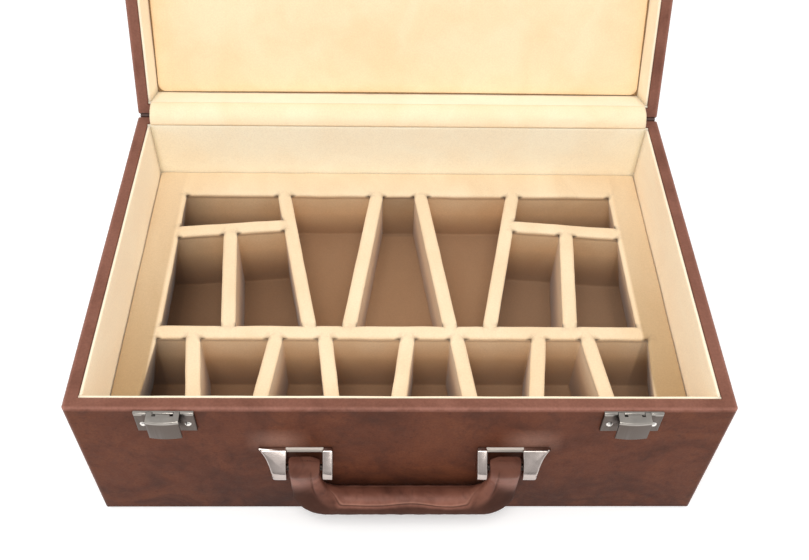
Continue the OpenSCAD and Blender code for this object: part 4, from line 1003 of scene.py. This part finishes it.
# %% [markdown]
# ## The gusset
#
# A strip of cloth joins the back linings of base and lid. It hides the hinge, and pulled taut
# it stops the lid. Towards its right end it has slack that lies in slanting wrinkles. The
# strip is a grid round the hinge's axis: it starts on the base, keeps nearly the same distance
# from the axis, so that it can fold up between the rims when the lid shuts, and ends on the
# lid.

# %% Gusset
GUSSET_HALF, GUSSET_T, GUSSET_R, GUSSET_DIP = 189.0, 0.6, 10.45, 1.3
GUSSET_START_DEG, GUSSET_ROWS, GUSSET_COLUMNS = 182.2, 22, 240
start_angle = math.radians(GUSSET_START_DEG)
end_angle = math.radians(GUSSET_START_DEG - LID_OPEN_DEG - 4.4)
v = np.linspace(0, 1, GUSSET_ROWS)
S, V = np.meshgrid(np.linspace(-GUSSET_HALF, GUSSET_HALF, GUSSET_COLUMNS),
                   np.concatenate([v, v[::-1]]), indexing="ij")
face_side = np.repeat([1, -1], GUSSET_ROWS)
slack = 0.25 + 0.75 * ease((S - 60) / 110)
wrinkle = np.sin(math.pi * V) * slack * (0.5 * ripple(S * 0.5, V * 34, 16, 7)
                                         + 0.35 * ripple(S * 0.35 - V * 12, V * 9, 9, 8))
radius = (GUSSET_R - GUSSET_DIP * np.sin(math.pi * V) + wrinkle * 0.8
          + face_side * GUSSET_T / 2)
angle = start_angle + (end_angle - start_angle) * V
points = np.stack([S, HINGE_Y + radius * np.cos(angle), PARTING_Z + radius * np.sin(angle)], -1)
gusset = piece("gusset_cloth", points, tube_faces(*S.shape), gusset_cloth)
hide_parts("lid_gusset")
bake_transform(gusset)

# %% [markdown]
# ## The handle
#
# The handle is a rope or card core covered in leatherette: a flat strap loops round each pin,
# turns inward and swells into a round grip. Its surface runs between two rails, one inside
# the bend and one outside it. At each station the section is a rounded box for the strap and
# a circle for the grip. Above the strap, level sections of a cylinder make the loop, flatter
# on its wall side, and the strap tapers straight below it.

# %% Handle rails
PIN_U, PIN_Z, LOOP_R = 8.5, 70.0, 7.5
LOOP_X0, LOOP_X1, LOOP_FOOT = 52.8, 71.8, -18.0
STRAP_T, GRIP_R, GRIP_U, GRIP_Z = 3.1, 9.4, 9.9, 30.0
INNER_R, OUTER_R = 17.0, 15.0
LOOP_ROWS, STRAP_ROWS, BEND_ROWS, GRIP_ROWS = 16, 13, 33, 45
STRAP_END = LOOP_ROWS + STRAP_ROWS
inner_centre = np.array([LOOP_X0 - INNER_R, GRIP_Z + GRIP_R + INNER_R])
outer_centre = np.array([LOOP_X1 - OUTER_R, GRIP_Z - GRIP_R + OUTER_R])
phi = np.radians(np.linspace(87, LOOP_FOOT, LOOP_ROWS))
loop_z = PIN_Z + LOOP_R * np.sin(phi)
t = np.linspace(0, 1, STRAP_ROWS + 1)[1:]
bend = np.linspace(0, 1, BEND_ROWS + 1)[1:]
run = np.linspace(0, 1, GRIP_ROWS + 1)[1:]


def rail(x_loop, centre, radius, z_grip):
    """From one loop down the strap, round a quarter circle and along the grip to its middle,
    and mirrored to the other loop."""
    quarter = bend * math.pi / 2
    half = np.concatenate([
        np.column_stack([np.full(LOOP_ROWS, x_loop), loop_z]),
        np.column_stack([np.full(STRAP_ROWS, x_loop), loop_z[-1] + (centre[1] - loop_z[-1]) * t]),
        centre + radius * np.column_stack([np.cos(quarter), -np.sin(quarter)]),
        np.column_stack([centre[0] * (1 - run), np.full(GRIP_ROWS, z_grip)])])
    return np.concatenate([half, half[-2::-1] * [-1, 1]])


inner_rail = rail(LOOP_X0, inner_centre, INNER_R, GRIP_Z + GRIP_R)
outer_rail = rail(LOOP_X1, outer_centre, OUTER_R, GRIP_Z - GRIP_R)
swelling = np.concatenate([np.zeros(LOOP_ROWS), 0.04 * ease(t), 0.04 + 0.96 * ease(bend),
                           np.ones(GRIP_ROWS)])
half_t = STRAP_T + (GRIP_R - STRAP_T) * swelling
half_t[:LOOP_ROWS] = LOOP_R * np.cos(phi)
half_t[LOOP_ROWS:STRAP_END] = (STRAP_T + 0.2 + (half_t[LOOP_ROWS - 1] - STRAP_T - 0.2)
                               * (1 - t) ** 1.12)
boxy = np.concatenate([np.full(LOOP_ROWS, 0.34), 0.34 + 0.16 * t,
                       0.5 + 0.5 * swelling[STRAP_END:]])
swelling, half_t, boxy = (np.concatenate([a, a[-2::-1]])[:, None] for a in (swelling, half_t, boxy))
print("handle stations:", len(swelling))

# %% [markdown]
# The section's angle starts at the outer rail and runs over the front. Its cosine goes across
# from rail to rail and its sine from wall side to front; both are raised to a power that is
# below 1 for the boxy strap. The cover's edges meet in a slightly wavy seam along the front
# of the grip, a fine groove with a lip above it. A crease runs down each strap, and the
# inside of each bend is wrinkled. All of these are small shifts along the section, so they
# are real relief.

# %% Handle surface
AROUND = 132
WALL_Y = -133


def signed_power(value, power):
    """A value between -1 and 1 raised to a power, with its sign kept."""
    return np.sign(value) * np.abs(value) ** power


section = np.linspace(0, 2 * math.pi, AROUND, endpoint=False)
across = signed_power(np.cos(section), boxy)
outward = signed_power(np.sin(section), boxy)
mid, reach = (inner_rail + outer_rail) / 2, (outer_rail - inner_rail) / 2
mid_x, mid_z, reach_x, reach_z = mid[:, :1], mid[:, 1:], reach[:, :1], reach[:, 1:]
x = mid_x + across * reach_x
z = mid_z + across * reach_z
flatter = 0.3 * ease((half_t - 3.3) / 3) * (swelling < 0.05) * (outward < 0)
u = PIN_U + (GRIP_U - PIN_U) * swelling + outward * half_t * (1 - flatter)
shoulder = 0.2 * ease((-across - 0.3) / 0.7) * (swelling < 0.01) * ease((z - PIN_Z + 10) / 8)
z = z - (z - PIN_Z) * shoulder * (z > PIN_Z)
u = u - (u - PIN_U) * shoulder

gripped = swelling ** 3
seam_at = np.radians(130 + 5 * np.cos(mid_x * 2 * math.pi / 62) + 2.5 * np.sin(mid_x / 7.3)
                     + 46 * (1 - gripped))
gap = (section - seam_at + math.pi) % (2 * math.pi) - math.pi
seam = bell(gap, 0, 0.045) * gripped
lip = bell(gap, 0.09, 0.05) * gripped
strap = 1 - ease(swelling * 2.2)
front = ease(outward * 3)
crease = bell(across, -0.42, 0.05) * front * strap * ease((76 - z) / 4)
along_bend = np.arctan2(inner_centre[1] - mid_z, np.abs(mid_x) - inner_centre[0] + 1e-6)
folds = (0.22 * bell(swelling, 0.55, 0.32) * ease(-across * 1.4)
         * np.sin(along_bend * 15 + 1.2 * np.sin(section * 2)))
soft = 0.10 * ripple(x + 2 * u, z * 1.5, 13, 31) + 0.06 * ripple(x, z - u, 5, 32)
shift = folds + soft * ease(swelling * 3) - 0.45 * seam + 0.22 * lip - 0.45 * crease

way = np.stack([reach_x * across, outward * half_t, reach_z * across], -1)
way /= np.maximum(np.linalg.norm(way, axis=-1, keepdims=True), 1e-6)
flat_way = np.stack([0 * across, front, 0 * across], -1)
way = way * (1 - strap[..., None]) + flat_way * strap[..., None]
surface = np.stack([x, u, z], -1) + way * shift[..., None]
surface[..., 0] += HANDLE_SHIFT
surface[..., 1] = WALL_Y - surface[..., 1]

# %% [markdown]
# The cover's finish reads four marks. Seam and lip are the shifts themselves, with a raised
# line behind the grip added to the lip. Worn is the front, most on the grip, with a painted
# highlight across the middle of each loop. The fourth mark is mostly painted shade where the
# cover looks down: the lower part of each strap, the grip below its seam, and the crease; it
# also darkens the top of each loop.

# %% Marks on the handle
# Painted highlight band across the middle of each loop, and rubbing with painted highlight on the
# front.
loop_highlight = 0.6 * (1 - gripped) * bell(z, 61, 7.5)
wear_and_highlight = ease(outward * 1.5 + 0.2) * (0.04 + 0.71 * gripped + loop_highlight)
in_front = (section > 0) & (section < math.pi)
below_seam = np.where(in_front, ease((seam_at - section) / 0.35), ease((across + 0.4) / 0.6))
below_loop = ease((59 - z) / 19) * ease((across + 0.62) / 0.4) + 0.4 * ease((z - 66) / 7)
# Painted shade on the down-facing parts and the crease, with a darker top of each loop.
under = below_loop * (1 - gripped) + below_seam * gripped + 0.6 * crease
piping = bell(section, math.radians(219), 0.06) * gripped
handle = piece("handle_cover", surface, tube_faces(len(swelling), AROUND), cover_skin,
               marks={"seam": seam, "lip": np.clip(lip + piping, 0, 1), "worn": wear_and_highlight,
                      "under": np.clip(under, 0, 1)})

# %% [markdown]
# Each loop has a bore for its pin. A boolean cuts it cleanly through both sides; its result
# is kept as the mesh, so nothing is left to work out later.

# %% Bores of the loops
BORE_R, BORE_SIDES, BORE_X0, BORE_X1 = 2.1, 40, 40, 85
turns = np.linspace(0, 2 * math.pi, BORE_SIDES, endpoint=False)
ring = np.column_stack([np.full(BORE_SIDES, HANDLE_SHIFT), WALL_Y - PIN_U + BORE_R * np.cos(turns),
                        PIN_Z + BORE_R * np.sin(turns)])
bores = [ring + [side * x, 0, 0] for side in (-1, 1) for x in (BORE_X0, BORE_X1)]
bore_faces = tube_faces(2, BORE_SIDES)
cutter = piece("bores", np.concatenate(bores),
               bore_faces + [[i + 2 * BORE_SIDES for i in f] for f in bore_faces], cover_skin)
cut = handle.modifiers.new("bores", "BOOLEAN")
cut.operation, cut.object, cut.solver = "DIFFERENCE", cutter, "EXACT"
bpy.context.view_layer.update()
bored = handle.evaluated_get(bpy.context.evaluated_depsgraph_get())
bored = bpy.data.meshes.new_from_object(bored)
handle.modifiers.clear()
handle.data = bored
bpy.data.objects.remove(cutter)
settle(handle, "handle", "handle_leather", "handle_grip")

# %% [markdown]
# ## Softened metal
#
# Pressed and cast metal never has knife edges, and its small rounded edges are what catches
# the light. The solids of brackets, catches and strikes have the right shape, so each is
# copied, its loose triangles are merged into whole faces, and a bevel rounds its edges. A
# cast bracket is roundest where its wings are hollowed out, so there its edges get the whole
# width of the bevel, by their weight, and all others a third.

# %% Bevelled copies
SHARP = math.radians(28)


def rounded_copy(name, finish, slot, width, body, soft_edge=None):
    """A copy of a solid with merged points, flat faces made whole and bevelled edges. An edge
    that soft_edge picks by its two ends gets the whole width, and the others a third."""
    mesh = solids[name].data.copy()
    work = bmesh.new()
    work.from_mesh(mesh)
    bmesh.ops.remove_doubles(work, verts=work.verts, dist=2e-6)
    bmesh.ops.dissolve_limit(work, angle_limit=math.radians(0.6), verts=work.verts,
                             edges=work.edges)
    if soft_edge:
        weight = work.edges.layers.float.new("bevel_weight_edge")
        for edge in work.edges:
            if edge.is_manifold and edge.calc_face_angle() > SHARP:
                ends = [np.array(end.co) / MM for end in edge.verts]
                edge[weight] = 1.0 if soft_edge(*ends) else 0.33
    work.to_mesh(mesh)
    work.free()
    mesh.materials.clear()
    mesh.materials.append(finish)
    made = linked(f"{name}_rounded", mesh)
    bevel = made.modifiers.new("edges", "BEVEL")
    bevel.width, bevel.segments = width * MM, 3
    bevel.limit_method, bevel.angle_limit = "WEIGHT" if soft_edge else "ANGLE", SHARP
    bevel.harden_normals = True
    bevel.use_clamp_overlap = width < 1
    return settle(made, body, slot, name)


def wing_edge(a, b):
    """Whether an edge between two places runs down the hollow side of a wing, at its front."""
    return (min(abs(a[0] - HANDLE_SHIFT), abs(b[0] - HANDLE_SHIFT)) > 82.3
            and max(a[1], b[1]) < -135.9 and min(a[2], b[2]) < 79.9)


for side in ("left", "right"):
    rounded_copy(f"{side}_handle_bracket", chrome, "bright_chrome", 1.7, "case_base", wing_edge)
    rounded_copy(f"{side}_catch_plate", nickel, "nickel", 0.18, "case_base")
    rounded_copy(f"{side}_catch_lever", nickel, "nickel", 0.16, f"{side}_lever")
    rounded_copy(f"{side}_strike", strike_nickel, "nickel", 0.14, "lid")

# %% [markdown]
# ## Catch springs
#
# Behind each lever a coil of steel wire sits round the pin, one leg on the plate and one
# behind the lever's face. The wire is a circle carried along the coil's path; at each point
# the circle stands square to the path.

# %% Springs
WIRE_R, COIL_R, COIL_HALF, TURNS = 0.3, 1.9, 4.1, 6.5
CATCH_PIN_U, CATCH_PIN_Z, PLATE_T, LEG_DROP = 5.1, 111.5, 2.2, 5.5


def wire(path, radius, sides=10):
    """Rings round a path. Each ring's plane is square to the path's direction there."""
    way = np.gradient(path, axis=0)
    way /= np.linalg.norm(way, axis=1)[:, None]
    a = np.array([1.0, 0, 0]) - way * way[:, :1]
    a /= np.linalg.norm(a, axis=1)[:, None]
    turn = np.linspace(0, 2 * math.pi, sides, endpoint=False)[:, None]
    circle = np.cos(turn) * a[:, None] + np.sin(turn) * np.cross(a, way)[:, None]
    return path[:, None] + radius * circle


share = np.linspace(0, 1, 200)
a = math.pi - 2 * math.pi * TURNS * share
coil = np.column_stack([COIL_HALF * (2 * share - 1), CATCH_PIN_U + COIL_R * np.cos(a),
                        CATCH_PIN_Z + COIL_R * np.sin(a)])
leg = np.linspace(0, 1, 8)[:-1, None]
low = CATCH_PIN_Z - LEG_DROP
on_plate = np.array([-COIL_HALF, PLATE_T + WIRE_R + 0.1, low])
on_lever = np.array([COIL_HALF, CATCH_PIN_U + COIL_R + 0.2, low])
path = np.concatenate([on_plate + (coil[0] - on_plate) * leg, coil,
                       coil[-1] + (on_lever - coil[-1]) * leg])
for side, k in (("left", -1), ("right", 1)):
    catch_x = k * CATCH_X + CATCH_SHIFT
    placed = np.column_stack([catch_x - path[:, 0], WALL_Y - path[:, 1], path[:, 2]])
    rings = wire(placed, WIRE_R)
    spring = piece(f"{side}_spring_coil", rings, tube_faces(*rings.shape[:2]), steel, merge=0.0001)
    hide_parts(f"{side}_catch_spring")
    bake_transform(spring)

# %% [markdown]
# ## Floor and light
#
# The box stands on a pale floor that glows a little, so that its shadow stays faint. One
# soft light, high in front, draws the highlights on the metal. All other light comes from
# the room: it is brighter overhead than at the height of the eye, which lifts every upward
# face and leaves the front and the wells darker, and brighter again to the left and right,
# where the sides of metal look. The room is two ramps along its directions, added up.

# %% Floor and lights
FLOOR_HALF = 40000
pale = Finish("pale_floor", Specular_IOR_Level=0.1, Emission_Color=(1, 1, 1, 1),
              Emission_Strength=0.25)
floor_tone = pale.ramp(pale.noise(300, detail=2), (0.3, (244, 244, 244)), (0.7, (250, 250, 250)))
pale.wire("Base Color", floor_tone)
pale.wire("Roughness", pale.span(pale.noise(40), 0, 1, 0.8, 0.9))
floor_corners = np.column_stack([rectangle(2 * FLOOR_HALF, 2 * FLOOR_HALF), np.zeros(4)])
piece("floor", floor_corners, [[0, 1, 2, 3]], pale.material)


def soft_light(name, place, aim, size, watts, tint):
    """A square light at place that shines towards aim; both in millimetres."""
    lamp = bpy.data.lights.new(name, "AREA")
    lamp.size, lamp.energy, lamp.color = size * MM, watts, tint
    made = bpy.data.objects.new(name, lamp)
    back = np.asarray(place, float) - aim
    back /= np.linalg.norm(back)
    side = np.cross([0, 0, 1], back)
    side /= np.linalg.norm(side)
    made.matrix_world = stood([side, np.cross(back, side), back], place)
    bpy.context.scene.collection.objects.link(made)


soft_light("key", (-60, -620, 1180), (0, 60, 90), 600, 6.3, (1.0, 0.99, 0.96))

world = bpy.data.worlds.new("room")
world.use_nodes = True
nodes, links = world.node_tree.nodes, world.node_tree.links
background = nodes["Background"]
background.inputs["Color"].default_value = (1, 1, 1, 1)
toward = nodes.new("ShaderNodeSeparateXYZ")
links.new(nodes.new("ShaderNodeTexCoord").outputs["Generated"], toward.inputs[0])


def room_part(axis, start, end, low, high):
    """How bright the room is towards an axis, from low at start to high at end."""
    size = nodes.new("ShaderNodeMath")
    size.operation = "ABSOLUTE"
    part = nodes.new("ShaderNodeMapRange")
    for socket, value in zip(list(part.inputs)[1:5], (start, end, low, high)):
        socket.default_value = value
    links.new(toward.outputs[axis], size.inputs[0])
    links.new(size.outputs[0], part.inputs["Value"])
    return part.outputs[0]


total = nodes.new("ShaderNodeMath")
links.new(room_part("Z", 0.0, 0.8, 0.42, 0.8), total.inputs[0])
links.new(room_part("X", 0.4, 0.85, 0.0, 0.75), total.inputs[1])
links.new(total.outputs[0], background.inputs["Strength"])
bpy.context.scene.world = world
bpy.context.scene.view_settings.view_transform = "Standard"
